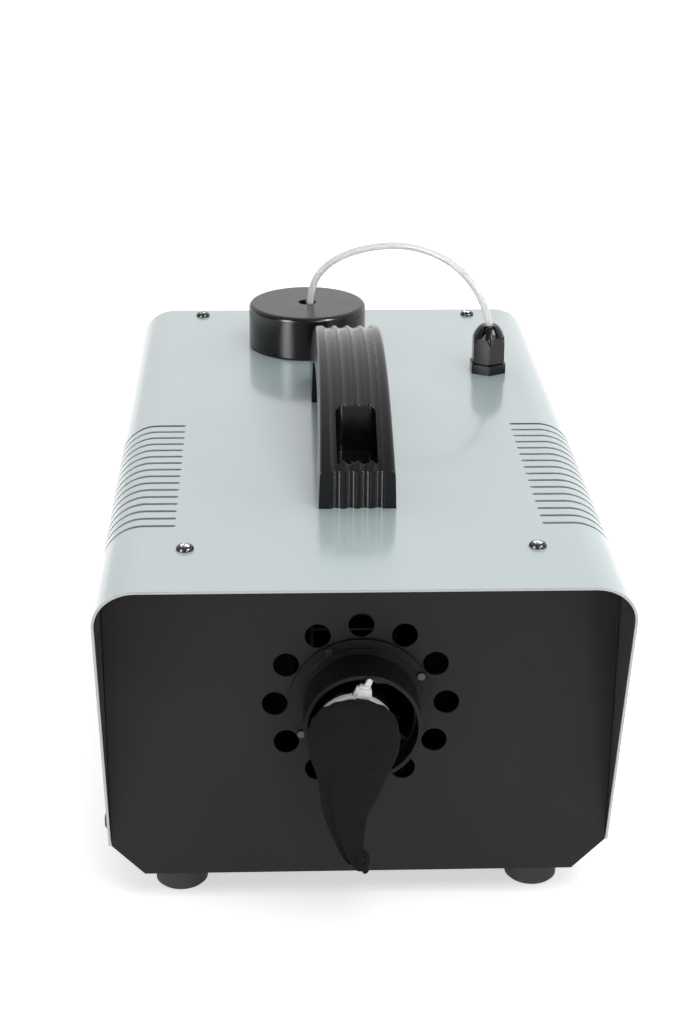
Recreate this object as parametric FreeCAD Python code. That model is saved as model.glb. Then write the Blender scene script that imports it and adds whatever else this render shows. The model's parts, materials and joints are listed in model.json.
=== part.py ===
import FreeCAD, Part

import math
import os

# Snow machine: a folded steel cover over a steel tray, with a blower, a pump and a tank inside.
# Millimetres. +Z is up, the outlet points along -Y, the origin is at the middle of the base.

V = FreeCAD.Vector
X_AXIS = V(1, 0, 0)
Y_AXIS = V(0, 1, 0)
Z_AXIS = V(0, 0, 1)

# ---- driving dimensions -------------------------------------------------------------------
# casing
body_width = 240.0
body_length = 418.0
body_top = 185.0  # top of the cover above the floor
foot_height = 16.3
sheet = 1.2  # cover, panels and tray
corner_radius = 20.0  # outside radius of the cover's two long corners
visor = 42.0  # how far the cover's top edge overhangs the front panel
rear_recess = 6.5  # how far the rear panel sits inside the cover
chamfer_width = 16.9  # slanting lower corners of the tray and panels
chamfer_height = 15.8
seam_gap = 0.2  # between the cover and what it slides over
flange_depth = 16.0  # folded flanges of the two panels
flange_end_gap = 28.0  # from a flange's end to the casing's side
lip_height = 22.0  # upright lips of the tray above its slanting corners

# vents
slot_count = 16
slot_pitch = 9.0
slot_width = 2.4
slot_reach = 34.6  # how far in from the casing's side a slot starts
slot_drop = 42.0  # how far down the side a slot reaches
slot_front_gap = 31.0  # from the front panel's face to the first slot
rear_vent_count = 5  # rows, and holes in a row
rear_vent_r = 2.5
rear_vent_pitch = 10.0
rear_vent_side_gap = 80.0  # from the casing's side to the furthest column
rear_vent_low_z = 50.0

# screws
screw_r = 2.0
screw_head_r = 4.1
screw_head_height = 2.2
screw_slot_width = 1.0
screw_slot_depth = 1.3
screw_length = 8.0
front_screw_side_gap = 40.0  # from the casing's side
rear_screw_side_gap = 38.0
front_screw_inset = 4.0  # from the front panel's face
rear_screw_inset = 4.5
side_screw_z = 41.0
side_screw_inset = 9.0
panel_screw_side_gap = 62.0
panel_screw_inset = 9.0
screw_small_r = 1.5

# feet
foot_r = 12.7
foot_edge = 1.2
foot_side_gap = 33.6  # from the casing's side to a foot's middle
foot_front_gap = 22.4  # from the front panel's face
foot_rear_gap = 18.5  # from the rear panel's face
foot_recess_r = 6.0
foot_recess_depth = 7.0
foot_screw_bite = 5.0

# air outlet
outlet_drop = 77.1  # from the cover's top down to the outlet's axis
outlet_r = 27.0
outlet_wall = 1.8
outlet_reach = 25.3  # in front of the panel
outlet_tail = 14.0  # behind the panel
outlet_flange_width = 6.6
outlet_flange_thick = 2.0
outlet_collar_width = 2.6  # a raised step of the flange, round the tube
outlet_collar_thick = 3.2
outlet_screw_count = 4
outlet_screw_inset = 2.1  # from the flange's rim
outlet_screw_first = 28.0  # degrees from the outlet's right
outlet_screw_r = 1.25
outlet_screw_head_r = 1.8
outlet_screw_head_height = 1.3
outlet_screw_length = 7.0
air_hole_count = 12
air_hole_r = 6.0
air_hole_gap = 0.4  # from the outlet's flange

# snow nozzle in the outlet
nozzle_shift = -3.6  # the nozzle sits off the outlet's axis
nozzle_gap = 8.6  # from the outlet's bore, all round if it weren't shifted
nozzle_wall = 1.6
nozzle_front = 6.5  # in front of the outlet's mouth
nozzle_length = 22.0
spider_width = 4.0
spider_wall = 1.2
spider_arm_half = 1.0
jet_pipe_r = 3.0
jet_pipe_bore_r = 0.6
jet_hub_wall = 2.0
jet_tip_r = 1.6
jet_tip_length = 4.0
jet_inset = 6.0  # the pipe's front inside the nozzle
jet_elbow_gap = 9.0  # behind the outlet's tail
jet_elbow_r = 4.2
jet_barb_length = 16.0
sock_cloth = 0.9
sock_bag_depth = 7.0
sock_bag_width = 1.8  # how far the bag in front of the tie stands out
sock_sleeve = 10.0  # how far the sock reaches back over the nozzle
sock_drop = 71.5  # from the nozzle's axis to the tip
tie_thick = 1.3
tie_width = 4.6
tie_inset = 2.0  # behind the nozzle's front
tie_head = 7.0
tie_head_height = 6.0
tie_head_shift = 2.0
tie_tail_length = 8.0
tie_tail_thick = 1.5
tie_tail_lean = 12.0  # degrees

# blower
plenum_edge = 4.0  # from the air holes to the plenum's wall
plenum_wall = 1.5
plenum_depth = 37.0
duct_half_width = 30.0
duct_height = 54.0
duct_length = 28.8  # from the plenum to the scroll's tongue
fan_room = 14.7  # what the scroll takes of the height, beside the fan
fan_length = 44.0
fan_disc = 2.0
fan_hub_length = 14.0
fan_blade_depth = 8.0
fan_blade_thick = 1.2
fan_blade_count = 24
fan_blade_lean = 28.0  # degrees
fan_inlet_inset = 10.0  # the round inlet is this much smaller than the fan
scroll_gap = 4.0  # between the fan and the scroll's tongue
scroll_growth = 10.9  # how much further out the scroll's end is than its tongue
scroll_wall = 2.0
shaft_r = 3.0
running_gap = 0.05
motor_r = 29.0
motor_wall = 1.5
motor_bell = 4.0
motor_bell_holes = 6
motor_bell_hole_r = 3.5
motor_length = 58.0
rotor_r = 17.0
rotor_length = 30.0
rotor_gap = 0.6
stator_length = 34.0
bearing_r = 8.0
bearing_width = 5.0
saddle_half_width = 12.0
saddle_half_length = 26.0
cradle_half_width = 8.0
cradle_half_length = 20.0
cradle_rise = 18.0  # its horns end this far under the motor's axis

# tank, its cap and the hose
cap_x = -18.6
cap_r = 34.2
cap_top_round = 2.6
cap_height = 25.1
cap_lift_gap = 0.4  # between the cap's rim and the cover
cap_wall = 3.6
cap_top_wall = 2.6
cap_rim_edge = 0.8
cap_hole_r = 5.2
thread_gap = 0.5  # between the neck's thread and the cap
thread_height = 2.4
thread_drop = 12.0  # below the neck's rim
neck_thread = 1.2  # how far the thread stands out
neck_wall = 4.1
neck_above_cover = 19.6
collar_reach = 4.0
collar_height = 4.0
liner_thick = 2.2
liner_gap = 0.2
liner_side_gap = 0.6
tank_side_gap = 22.0  # from the casing's side
tank_pump_gap = 2.7
tank_neck_front = 18.5  # from the neck to the tank's front
tank_neck_rear = 3.3
tank_socket_gap = 0.5  # behind the tank, to the mains socket's tabs
tank_drop = 22.0  # from the cover's top to the tank's
tank_wall = 2.0
tank_edge_r = 9.0
bracket_half_width = 40.0
bracket_height = 50.0
bracket_foot = 16.0
strainer_r = 7.0
strainer_height = 14.0
strainer_lift = 6.0  # above the tank's floor
strainer_bottom = 4.0
strainer_slot_width = 1.6
strainer_slot_height = 7.0
hose_r = 2.0
hose_bore_r = 1.25
hose_shift = 1.6  # the hose leans to one side of the cap's hole

# gland
gland_side_gap = 36.7  # from the casing's side
gland_rear_gap = 114.0  # from the rear panel's face
gland_flange_across = 19.2
gland_flange_height = 5.5
gland_thread_r = 7.6
gland_bore_r = 4.2
gland_below = 10.0
gland_body_top = 17.0
gland_nut_across = 17.4
gland_nut_gap = 0.5  # between the flange and the nut
gland_nut_top_r = 4.4
gland_nut_height = 21.6
gland_nut_roof = 1.2  # above the thread's end
gland_finger_count = 6
gland_groove_width = 1.2
gland_groove_depth = 5.4
gland_groove_wall = 1.4
gland_window_r = 2.1
gland_window_drop = 6.2
gland_seal_height = 6.0
gland_clamp_drop = 5.5  # a groove inside the nut's top
gland_clamp_width = 1.6
gland_hose_gap = 0.1
locknut_across = 22.0
locknut_height = 4.6

# handle
handle_front_gap = 50.0  # from the front panel's face
handle_cap_gap = 31.4  # from the cap
handle_base_width = 37.0
handle_top_width = 33.6
handle_height = 54.0
handle_leg_height = 19.0
handle_leg_length = 40.0
handle_grip = 19.0
handle_arch_edge = 2.2
handle_upright_edge = 1.5
handle_ribs = 5
handle_groove_r = 3.4
handle_groove_depth = 1.3
handle_window_width = 19.5
handle_window_length = 30.0
handle_window_inset = 4.5
handle_window_floor = 15.5
handle_window_round = 4.0
handle_screw_r = 2.5
handle_screw_inset = 18.0
handle_nut_across = 8.0
handle_nut_height = 4.0
handle_nut_spare = 3.0  # of the screw below its nut

# pump
pump_drop = 81.0  # from the cover's top to the middle of the coil
pump_barrel_r = 9.0
pump_bore_r = 6.3
pump_barrel_length = 88.0
pump_barb_length = 12.0
pump_spout_length = 15.0
pump_foot_r = 5.5
pump_foot_half = 5.0
pump_spout_drop = 6.0
pump_coil_r = 17.0
pump_coil_height = 40.0
pump_yoke_thick = 1.6
pump_yoke_gap = 2.0
pump_yoke_half = 15.0
plunger_r = 6.2
plunger_bore_r = 1.6
plunger_length = 34.0
plunger_inset = 12.0  # from the barrel's top
pump_spring_r = 4.6
pump_spring_wire = 0.6
pump_spring_turns = 6.5
pump_spring_gap = 0.2
pump_spring_inset = 8.0
pump_mount_r = 5.0
pump_mount_length = 4.0
pump_mount_half_pitch = 12.0
pump_bracket_half = 18.0
pump_shelf_drop = 6.0  # below the edge of the tray's lip
pump_hook_lift = 2.0

# rear panel's socket and switch
socket_side_gap = 48.0  # from the casing's side to the middle of both
inlet_z = 62.0
inlet_half_width = 13.6
inlet_half_height = 15.5
inlet_depth = 20.5
inlet_fit = 0.1
inlet_bezel_half_width = 25.0
inlet_bezel_half_height = 18.5
inlet_bezel_thick = 2.2
inlet_bezel_round = 5.0
inlet_cavity_half_width = 12.2
inlet_cavity_low = -3.5
inlet_cavity_high = 13.0
inlet_cavity_depth = 15.0
inlet_cavity_round = 3.0
inlet_pin_half = 1.0
inlet_pin_height = 4.0
inlet_pin_inset = 3.0
inlet_pins_at = ((-7.0, 2.0), (7.0, 2.0), (0.0, 6.5))
inlet_tab_half = 0.4
inlet_tab_length = 7.5
inlet_screw_x = 20.0
inlet_screw_head_r = 2.8
inlet_screw_head_height = 1.6
inlet_screw_length = 7.6
fuse_half_width = 9.5
fuse_height = 7.0
fuse_low = -13.0
fuse_depth = 18.0
fuse_gap = 0.35
fuse_wall = 1.0
fuse_face = 1.9  # how far its front stands out of the panel
fuse_lug_half = 3.0
fuse_lug_height = 1.2
fuse_lug_reach = 1.1
switch_z = 108.0
switch_half_width = 9.5
switch_half_height = 13.0
switch_depth = 20.0
switch_fit = 0.1
switch_bezel_side = 1.5
switch_bezel_end = 2.0
switch_bezel_thick = 2.0
switch_bezel_round = 1.4
switch_well_depth = 10.0
switch_well_side = 1.6
switch_well_end = 1.2
rocker_gap = 0.4
rocker_pin_r = 1.2
rocker_pin_inset = 4.0
rocker_swing = 10.0  # degrees to either side of level

# electronics
board_side_gap = 19.0  # from the casing's side
board_scroll_gap = 9.0
board_tank_gap = 15.0
board_length = 74.0
board_height = 26.0  # above the tray
board_thick = 1.6
board_corner = 4.0
board_post_r = 3.0
relay_width = 19.0
relay_length = 15.0
relay_height = 15.0
relay_pitch = 19.0
terminal_width = 8.0
terminal_length = 50.0
terminal_height = 12.0
terminal_count = 8
terminal_pitch = 6.0
terminal_hole_r = 1.8
receiver_thick = 2.0
receiver_length = 36.0
receiver_height = 16.0
aerial_r = 0.6
aerial_length = 60.0

# The free hose, out of the cap, over in an arch and down into the gland.
free_hose_points = [
    (-17.0, 140.6, 210.5),
    (-16.3, 140.2, 217.6),
    (-13.4, 138.9, 226.0),
    (-7.9, 136.4, 233.4),
    (-0.3, 132.9, 239.6),
    (9.2, 128.4, 244.6),
    (19.8, 123.2, 248.4),
    (31.6, 117.2, 250.9),
    (43.8, 110.7, 251.0),
    (55.1, 104.6, 248.4),
    (64.8, 99.0, 243.4),
    (72.6, 94.5, 236.2),
    (78.4, 91.2, 227.4),
    (81.8, 89.3, 219.2),
    (83.3, 88.5, 212.1),
]

# ---- places worked out from them ----------------------------------------------------------
half_width = body_width / 2
front_edge_y = -body_length / 2
rear_edge_y = body_length / 2
panel_y = front_edge_y + visor  # the front panel's face
rear_face_y = rear_edge_y - rear_recess  # the rear panel's face
cover_inside_z = body_top - sheet
cover_inside_x = half_width - sheet
tray_z = foot_height  # underside of the tray
floor_z = tray_z + sheet  # top of the tray's floor
side_bottom_z = tray_z + chamfer_height  # where the cover's sides end
panel_half_width = cover_inside_x - seam_gap
flange_half_width = half_width - flange_end_gap
slot_inner_x = half_width - slot_reach
slot_first_y = panel_y + slot_front_gap
front_screw_x = half_width - front_screw_side_gap
rear_screw_x = half_width - rear_screw_side_gap
panel_screw_x = half_width - panel_screw_side_gap
foot_x = half_width - foot_side_gap
foot_front_y = panel_y + foot_front_gap
foot_rear_y = rear_face_y - foot_rear_gap

outlet_z = body_top - outlet_drop
outlet_flange_r = outlet_r + outlet_flange_width
outlet_screw_ring_r = outlet_r + outlet_flange_width - outlet_screw_inset
air_hole_ring_r = outlet_flange_r + air_hole_gap + air_hole_r
mouth_y = panel_y - outlet_reach
nozzle_r = outlet_r - outlet_wall - nozzle_gap
nozzle_front_y = mouth_y - nozzle_front
nozzle_rear_y = nozzle_front_y + nozzle_length
spider_y = nozzle_rear_y - spider_width
jet_elbow_y = panel_y + outlet_tail + jet_elbow_gap
sock_r = nozzle_r + sock_cloth

plenum_r = air_hole_ring_r + air_hole_r + plenum_edge
plenum_front_y = panel_y + sheet
plenum_back_y = plenum_front_y + plenum_depth
duct_low_z = outlet_z - duct_height / 2
duct_high_z = outlet_z + duct_height / 2
fan_r = (duct_high_z - floor_z) / 2 - fan_room
fan_inlet_r = fan_r - fan_inlet_inset
tongue_r = fan_r + scroll_gap
scroll_top_r = tongue_r + scroll_growth
fan_z = duct_high_z - scroll_top_r  # the scroll meets the duct's roof above the fan
fan_y = plenum_back_y + duct_length + tongue_r
scroll_half_width = duct_half_width + scroll_wall
motor_end_x = scroll_half_width + motor_length
motor_middle_x = scroll_half_width + motor_length / 2

cap_bottom_z = body_top + cap_lift_gap
cap_top_z = cap_bottom_z + cap_height
neck_r = cap_r - cap_wall - thread_gap
neck_bore_r = neck_r - neck_wall
tank_rear_y = rear_face_y - inlet_depth - inlet_tab_length - tank_socket_gap
cap_y = tank_rear_y - tank_neck_rear - neck_r
neck_top_z = body_top + neck_above_cover
hose_x = cap_x + hose_shift
gland_x = half_width - gland_side_gap
gland_y = rear_face_y - gland_rear_gap
gland_top_z = body_top + gland_flange_height + gland_nut_height
pump_half_width = pump_coil_r + pump_yoke_gap + pump_yoke_thick
tank_left_x = -half_width + tank_side_gap
tank_right_x = gland_x - pump_half_width - tank_pump_gap
tank_middle_x = (tank_left_x + tank_right_x) / 2
tank_front_y = cap_y - neck_r - tank_neck_front
tank_top_z = body_top - tank_drop
suction_bottom_z = floor_z + tank_wall + strainer_lift

handle_front_y = panel_y + handle_front_gap
handle_rear_y = cap_y - cap_r - handle_cap_gap
handle_length = handle_rear_y - handle_front_y
handle_y = (handle_front_y + handle_rear_y) / 2
handle_gap_length = handle_length - 2 * handle_leg_length
handle_top_z = body_top + handle_height
handle_screw_ys = (handle_front_y + handle_screw_inset, handle_rear_y - handle_screw_inset)
arch_rise = handle_height - handle_leg_height
arch_r = ((handle_length / 2) ** 2 + arch_rise**2) / (2 * arch_rise)
arch_z = handle_top_z - arch_r

pump_z = body_top - pump_drop
pump_low_z = pump_z - pump_barrel_length / 2
pump_high_z = pump_z + pump_barrel_length / 2
pump_outlet_z = pump_low_z - pump_spout_drop
plunger_top_z = pump_high_z - plunger_inset
plunger_low_z = plunger_top_z - plunger_length
spring_low_z = pump_low_z + pump_spring_inset
pump_wall_x = gland_x + pump_half_width + pump_mount_length
inlet_x = -half_width + socket_side_gap
switch_x = -half_width + socket_side_gap
board_left_x = -half_width + board_side_gap
board_right_x = -scroll_half_width - board_scroll_gap
board_rear_y = tank_front_y - board_tank_gap
board_front_y = board_rear_y - board_length


# ---- small helpers ------------------------------------------------------------------------
def block(x0, x1, y0, y1, z0, z1):
    return Part.makeBox(x1 - x0, y1 - y0, z1 - z0, V(x0, y0, z0))


def rod(x, y, z, radius, length, axis=Z_AXIS):
    return Part.makeCylinder(radius, length, V(x, y, z), axis)


def ring(x, y, z, outer, inner, length, axis=Z_AXIS):
    return rod(x, y, z, outer, length, axis).cut(rod(x, y, z, inner, length, axis))


def prism(points, direction):
    wire = Part.makePolygon(points + [points[0]])
    return Part.Face(wire).extrude(direction)


def hexagon(x, y, z, across, height):
    radius = across / math.sqrt(3)
    corners = []
    for i in range(6):
        turn = math.radians(60 * i + 30)
        corners.append(V(x + radius * math.cos(turn), y + radius * math.sin(turn), z))
    return prism(corners, V(0, 0, height))


def turned(profile, x, y):
    """A solid of revolution about a vertical axis, from (radius, height) points."""
    points = [V(x + radius, y, height) for radius, height in profile]
    wire = Part.makePolygon(points + [points[0]])
    return Part.Face(wire).revolve(V(x, y, 0), Z_AXIS, 360)


def joined(shapes):
    whole = shapes[0]
    for shape in shapes[1:]:
        whole = whole.fuse(shape)
    return whole.removeSplitter()


def edges_along(shape, direction, keep=None):
    """The straight edges of a shape that run along a direction."""
    found = []
    for edge in shape.Edges:
        if len(edge.Vertexes) != 2:
            continue
        run = edge.Vertexes[1].Point - edge.Vertexes[0].Point
        straight = abs(run.Length - edge.Length) < 1e-6
        if straight and run.cross(direction).Length < 1e-6 * run.Length:
            if keep is None or keep(edge.CenterOfMass):
                found.append(edge)
    return found


def pan_head(base, axis):
    """A crosshead pan screw's head on a surface, with its axis pointing out."""
    head = Part.makeCylinder(screw_head_r, screw_head_height, base, axis)
    rim = max(head.Edges, key=lambda e: (e.CenterOfMass - base).dot(axis))
    head = head.makeFillet(screw_head_height * 0.7, [rim])
    across = X_AXIS if abs(axis.x) < 0.5 else Y_AXIS
    other = axis.cross(across)
    top = base + axis * screw_head_height
    for along, beside in ((across, other), (other, across)):
        width = beside * screw_slot_width
        half = along * (screw_head_r * 0.55) + width / 2
        corners = [top + half, top + half - width, top - half, top - half + width]
        head = head.cut(prism(corners, axis * -screw_slot_depth))
    return head


def screw(base, axis, length, shank_r=screw_r):
    """A screw whose head sits on the point base, with its axis pointing out."""
    shank = Part.makeCylinder(shank_r, length, base, axis * -1)
    return pan_head(base, axis).fuse(shank)


def cord_path(points, name=""):
    """Straight runs joined by tangent arcs, each as large as its two runs allow."""
    edges = []
    radii = []
    start = points[0]
    for before, corner, after in zip(points, points[1:], points[2:]):
        back = before - corner
        ahead = after - corner
        reach = 0.45 * min(back.Length, ahead.Length)
        back.normalize()
        ahead.normalize()
        half_turn = (math.pi - back.getAngle(ahead)) / 2
        radius = reach / math.tan(half_turn)
        radii.append(radius)
        enter = corner + back * reach
        leave = corner + ahead * reach
        middle = back + ahead
        middle.normalize()
        middle = corner + middle * (radius / math.cos(half_turn) - radius)
        edges.append(Part.LineSegment(start, enter).toShape())
        edges.append(Part.Arc(enter, middle, leave).toShape())
        start = leave
    edges.append(Part.LineSegment(start, points[-1]).toShape())
    path = Part.Wire(edges)
    print(name, "length %.1f" % path.Length, "radii", [round(r, 1) for r in radii])
    return path


def swept(path, radius):
    first = path.Edges[0]
    start = first.valueAt(first.FirstParameter)
    direction = first.tangentAt(first.FirstParameter)
    circle = Part.Wire([Part.makeCircle(radius, start, direction)])
    tube = path.makePipeShell([circle], True, False)
    print("   volume ratio %.4f" % (tube.Volume / (math.pi * radius**2 * path.Length)))
    return tube


def save(name, shape):
    """Writes a node, as one solid or as a compound of separate solids."""
    solids = shape.Solids
    for solid in solids:
        if not solid.isValid():
            print("NOT VALID", name)
    if len(solids) == 1:
        out = solids[0]
    else:
        out = Part.makeCompound(solids)
    os.makedirs("parts", exist_ok=True)
    out.exportStep("parts/" + name + ".step")


def save_group(name, shapes):
    solids = []
    for shape in shapes:
        solids += shape.Solids
    save(name, Part.makeCompound(solids))


# ---- casing -------------------------------------------------------------------------------
top_screw_places = [
    (front_screw_x, panel_y + front_screw_inset),
    (-front_screw_x, panel_y + front_screw_inset),
    (rear_screw_x, rear_face_y - rear_screw_inset),
    (-rear_screw_x, rear_face_y - rear_screw_inset),
]
side_screw_ys = (panel_y + side_screw_inset, rear_face_y - side_screw_inset)


def arch_face(half, top, radius, bottom, y):
    """The area under an upturned U with rounded shoulders, in the X-Z plane."""
    lean = radius * math.sqrt(0.5)
    right_low = V(half, y, bottom)
    right_high = V(half, y, top - radius)
    right_top = V(half - radius, y, top)
    left_top = V(-half + radius, y, top)
    left_high = V(-half, y, top - radius)
    left_low = V(-half, y, bottom)
    right_middle = V(half - radius + lean, y, top - radius + lean)
    left_middle = V(-half + radius - lean, y, top - radius + lean)
    edges = [
        Part.makeLine(right_low, right_high),
        Part.Arc(right_high, right_middle, right_top).toShape(),
        Part.makeLine(right_top, left_top),
        Part.Arc(left_top, left_middle, left_high).toShape(),
        Part.makeLine(left_high, left_low),
        Part.makeLine(left_low, right_low),
    ]
    return Part.Face(Part.Wire(edges))


def make_cover():
    outer = arch_face(half_width, body_top, corner_radius, side_bottom_z, front_edge_y)
    inner = arch_face(
        cover_inside_x, cover_inside_z, corner_radius - sheet, side_bottom_z, front_edge_y
    )
    cover = outer.cut(inner).extrude(V(0, body_length, 0))
    # The front edge slants back from the top to the panel's face.
    beyond = 5.0
    slope = visor / (body_top - side_bottom_z)
    low_z = side_bottom_z - beyond
    high_z = body_top + beyond
    slant = [
        V(-half_width - beyond, panel_y + slope * beyond, low_z),
        V(-half_width - beyond, front_edge_y - slope * beyond, high_z),
        V(-half_width - beyond, front_edge_y - visor, high_z),
        V(-half_width - beyond, front_edge_y - visor, low_z),
    ]
    cover = cover.cut(prism(slant, V(body_width + 2 * beyond, 0, 0)))
    slots = []
    for i in range(slot_count):
        y = slot_first_y + slot_pitch * i
        for side in (-1, 1):
            near = side * (slot_inner_x + slot_width / 2)
            far = side * (half_width + beyond)
            low_x = min(near, far)
            high_x = max(near, far)
            low = body_top - slot_drop
            slots.append(
                block(low_x, high_x, y - slot_width / 2, y + slot_width / 2, low, high_z)
            )
            slots.append(rod(near, y, cover_inside_z - beyond, slot_width / 2, 3 * beyond))
    cover = cover.cut(Part.makeCompound(slots))
    holes = [
        rod(cap_x, cap_y, cover_inside_z - beyond, neck_r + seam_gap, 3 * beyond),
        rod(gland_x, gland_y, cover_inside_z - beyond, gland_thread_r, 3 * beyond),
    ]
    for x, y in top_screw_places:
        holes.append(rod(x, y, cover_inside_z - beyond, screw_r, 3 * beyond))
    for y in side_screw_ys:
        holes.append(rod(-half_width - beyond, y, side_screw_z, screw_r, 4 * beyond, X_AXIS))
        holes.append(rod(cover_inside_x - beyond, y, side_screw_z, screw_r, 4 * beyond, X_AXIS))
    for y in handle_screw_ys:
        holes.append(rod(0, y, cover_inside_z - beyond, handle_screw_r, 3 * beyond))
    return cover.cut(Part.makeCompound(holes))


def tray_line(inset):
    """The tray's folded section, from lip to lip, moved inwards by inset."""
    half = panel_half_width - inset
    slant = inset * (math.sqrt(chamfer_width**2 + chamfer_height**2) - chamfer_width)
    slant /= chamfer_height
    flat = half_width - chamfer_width - inset * 0.4
    return [
        (-half, side_bottom_z + lip_height),
        (-half, side_bottom_z + slant),
        (-flat, tray_z + inset),
        (flat, tray_z + inset),
        (half, side_bottom_z + slant),
        (half, side_bottom_z + lip_height),
    ]


foot_places = [(x, y) for x in (-foot_x, foot_x) for y in (foot_front_y, foot_rear_y)]
panel_screw_ys = (panel_y + panel_screw_inset, rear_face_y - panel_screw_inset)


def make_tray():
    front = panel_y + sheet + seam_gap
    rear = rear_face_y - sheet - seam_gap
    outline = tray_line(0) + tray_line(sheet)[::-1]
    tray = prism([V(x, front, z) for x, z in outline], V(0, rear - front, 0))
    reach = 10.0
    holes = []
    for x, y in foot_places:
        holes.append(rod(x, y, tray_z - reach / 2, screw_r, reach))
    for y in panel_screw_ys:
        for x in (-panel_screw_x, panel_screw_x):
            holes.append(rod(x, y, tray_z - reach / 2, screw_r, reach))
    for y in side_screw_ys:
        holes.append(rod(-half_width, y, side_screw_z, screw_r, reach, X_AXIS))
        holes.append(rod(half_width - reach, y, side_screw_z, screw_r, reach, X_AXIS))
    return tray.cut(Part.makeCompound(holes))


def panel_plate(face_y, inwards):
    """A flat panel with chamfered lower corners and flanges folded into the casing."""
    arch = arch_face(
        panel_half_width, cover_inside_z - seam_gap, corner_radius - sheet, side_bottom_z, face_y
    )
    plate = arch.extrude(V(0, inwards * sheet, 0))
    flat = half_width - chamfer_width
    foot = [
        V(-panel_half_width, face_y, side_bottom_z),
        V(-flat, face_y, tray_z),
        V(flat, face_y, tray_z),
        V(panel_half_width, face_y, side_bottom_z),
    ]
    plate = plate.fuse(prism(foot, V(0, inwards * sheet, 0)))
    y0, y1 = sorted((face_y, face_y + inwards * flange_depth))
    top_z = cover_inside_z - seam_gap
    top = block(-flange_half_width, flange_half_width, y0, y1, top_z - sheet, top_z)
    low_z = floor_z + seam_gap
    low = block(-flange_half_width, flange_half_width, y0, y1, low_z, low_z + sheet)
    panel = joined([plate, top, low])
    holes = []
    reach = 10.0
    for x, y in top_screw_places:
        holes.append(rod(x, y, top_z - reach / 2, screw_r, reach))
    for y in panel_screw_ys:
        for x in (-panel_screw_x, panel_screw_x):
            holes.append(rod(x, y, low_z - reach / 2, screw_r, reach))
    return panel.cut(Part.makeCompound(holes))


def around(count, radius, first=0.0):
    """Places on a circle in the X-Z plane, as (x, z) from its middle."""
    places = []
    for i in range(count):
        turn = math.radians(first + 360.0 * i / count)
        places.append((radius * math.cos(turn), radius * math.sin(turn)))
    return places


outlet_screw_places = around(outlet_screw_count, outlet_screw_ring_r, outlet_screw_first)


def make_front_panel():
    panel = panel_plate(panel_y, 1)
    start = panel_y - sheet
    length = 3 * sheet
    holes = [rod(0, start, outlet_z, outlet_r, length, Y_AXIS)]
    for x, z in around(air_hole_count, air_hole_ring_r):
        holes.append(rod(x, start, outlet_z + z, air_hole_r, length, Y_AXIS))
    for x, z in outlet_screw_places:
        holes.append(rod(x, start, outlet_z + z, outlet_screw_r, length, Y_AXIS))
    return panel.cut(Part.makeCompound(holes))


vent_places = []
for column in range(rear_vent_count):
    for row in range(rear_vent_count):
        vent_x = half_width - rear_vent_side_gap + rear_vent_pitch * column
        vent_places.append((vent_x, rear_vent_low_z + rear_vent_pitch * row))


def make_rear_panel():
    panel = panel_plate(rear_face_y, -1)
    y0 = rear_face_y - 2 * sheet
    y1 = rear_face_y + sheet
    inlet = block(
        inlet_x - inlet_half_width,
        inlet_x + inlet_half_width,
        y0,
        y1,
        inlet_z - inlet_half_height,
        inlet_z + inlet_half_height,
    )
    rocker = block(
        switch_x - switch_half_width,
        switch_x + switch_half_width,
        y0,
        y1,
        switch_z - switch_half_height,
        switch_z + switch_half_height,
    )
    holes = [inlet, rocker]
    for x in (-inlet_screw_x, inlet_screw_x):
        holes.append(rod(inlet_x + x, y0, inlet_z, screw_small_r, y1 - y0, Y_AXIS))
    for x, z in vent_places:
        holes.append(rod(x, y0, z, rear_vent_r, y1 - y0, Y_AXIS))
    return panel.cut(Part.makeCompound(holes))


def make_foot(x, y):
    foot = turned(
        [
            (screw_r, foot_recess_depth),
            (foot_recess_r, foot_recess_depth),
            (foot_recess_r, 0),
            (foot_r - foot_edge, 0),
            (foot_r, foot_edge),
            (foot_r, foot_height),
            (screw_r, foot_height),
        ],
        x,
        y,
    )
    return foot


def make_screws():
    down = V(0, 0, -1)
    foot_screw_length = foot_height - foot_recess_depth + foot_screw_bite
    feet = [screw(V(x, y, foot_recess_depth), down, foot_screw_length) for x, y in foot_places]
    save_group("foot_screws", feet)
    covers = [screw(V(x, y, body_top), Z_AXIS, screw_length) for x, y in top_screw_places]
    for y in side_screw_ys:
        covers.append(screw(V(-half_width, y, side_screw_z), V(-1, 0, 0), screw_length))
        covers.append(screw(V(half_width, y, side_screw_z), X_AXIS, screw_length))
    save_group("cover_screws", covers)
    panels = []
    for y in panel_screw_ys:
        for x in (-panel_screw_x, panel_screw_x):
            panels.append(screw(V(x, y, tray_z), down, screw_length))
    save_group("panel_screws", panels)


# ---- outlet, nozzle and sock --------------------------------------------------------------
def make_outlet():
    length = outlet_reach + outlet_tail
    bore = outlet_r - outlet_wall
    thick = outlet_flange_thick
    tube = ring(0, mouth_y, outlet_z, outlet_r, bore, length, Y_AXIS)
    flange = ring(0, panel_y - thick, outlet_z, outlet_flange_r, bore, thick, Y_AXIS)
    step = outlet_collar_thick
    collar = ring(0, panel_y - step, outlet_z, outlet_r + outlet_collar_width, bore, step, Y_AXIS)
    tube = joined([tube, flange, collar])
    for x, z in outlet_screw_places:
        tube = tube.cut(rod(x, panel_y - 2 * thick, outlet_z + z, outlet_screw_r, 3 * thick, Y_AXIS))
    return tube


def make_outlet_screws():
    screws = []
    face = panel_y - outlet_flange_thick
    height = outlet_screw_head_height
    for x, z in outlet_screw_places:
        shank = rod(x, face, outlet_z + z, outlet_screw_r, outlet_screw_length, Y_AXIS)
        head = rod(x, face - height, outlet_z + z, outlet_screw_head_r, height, Y_AXIS)
        screws.append(head.fuse(shank))
    return screws


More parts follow.
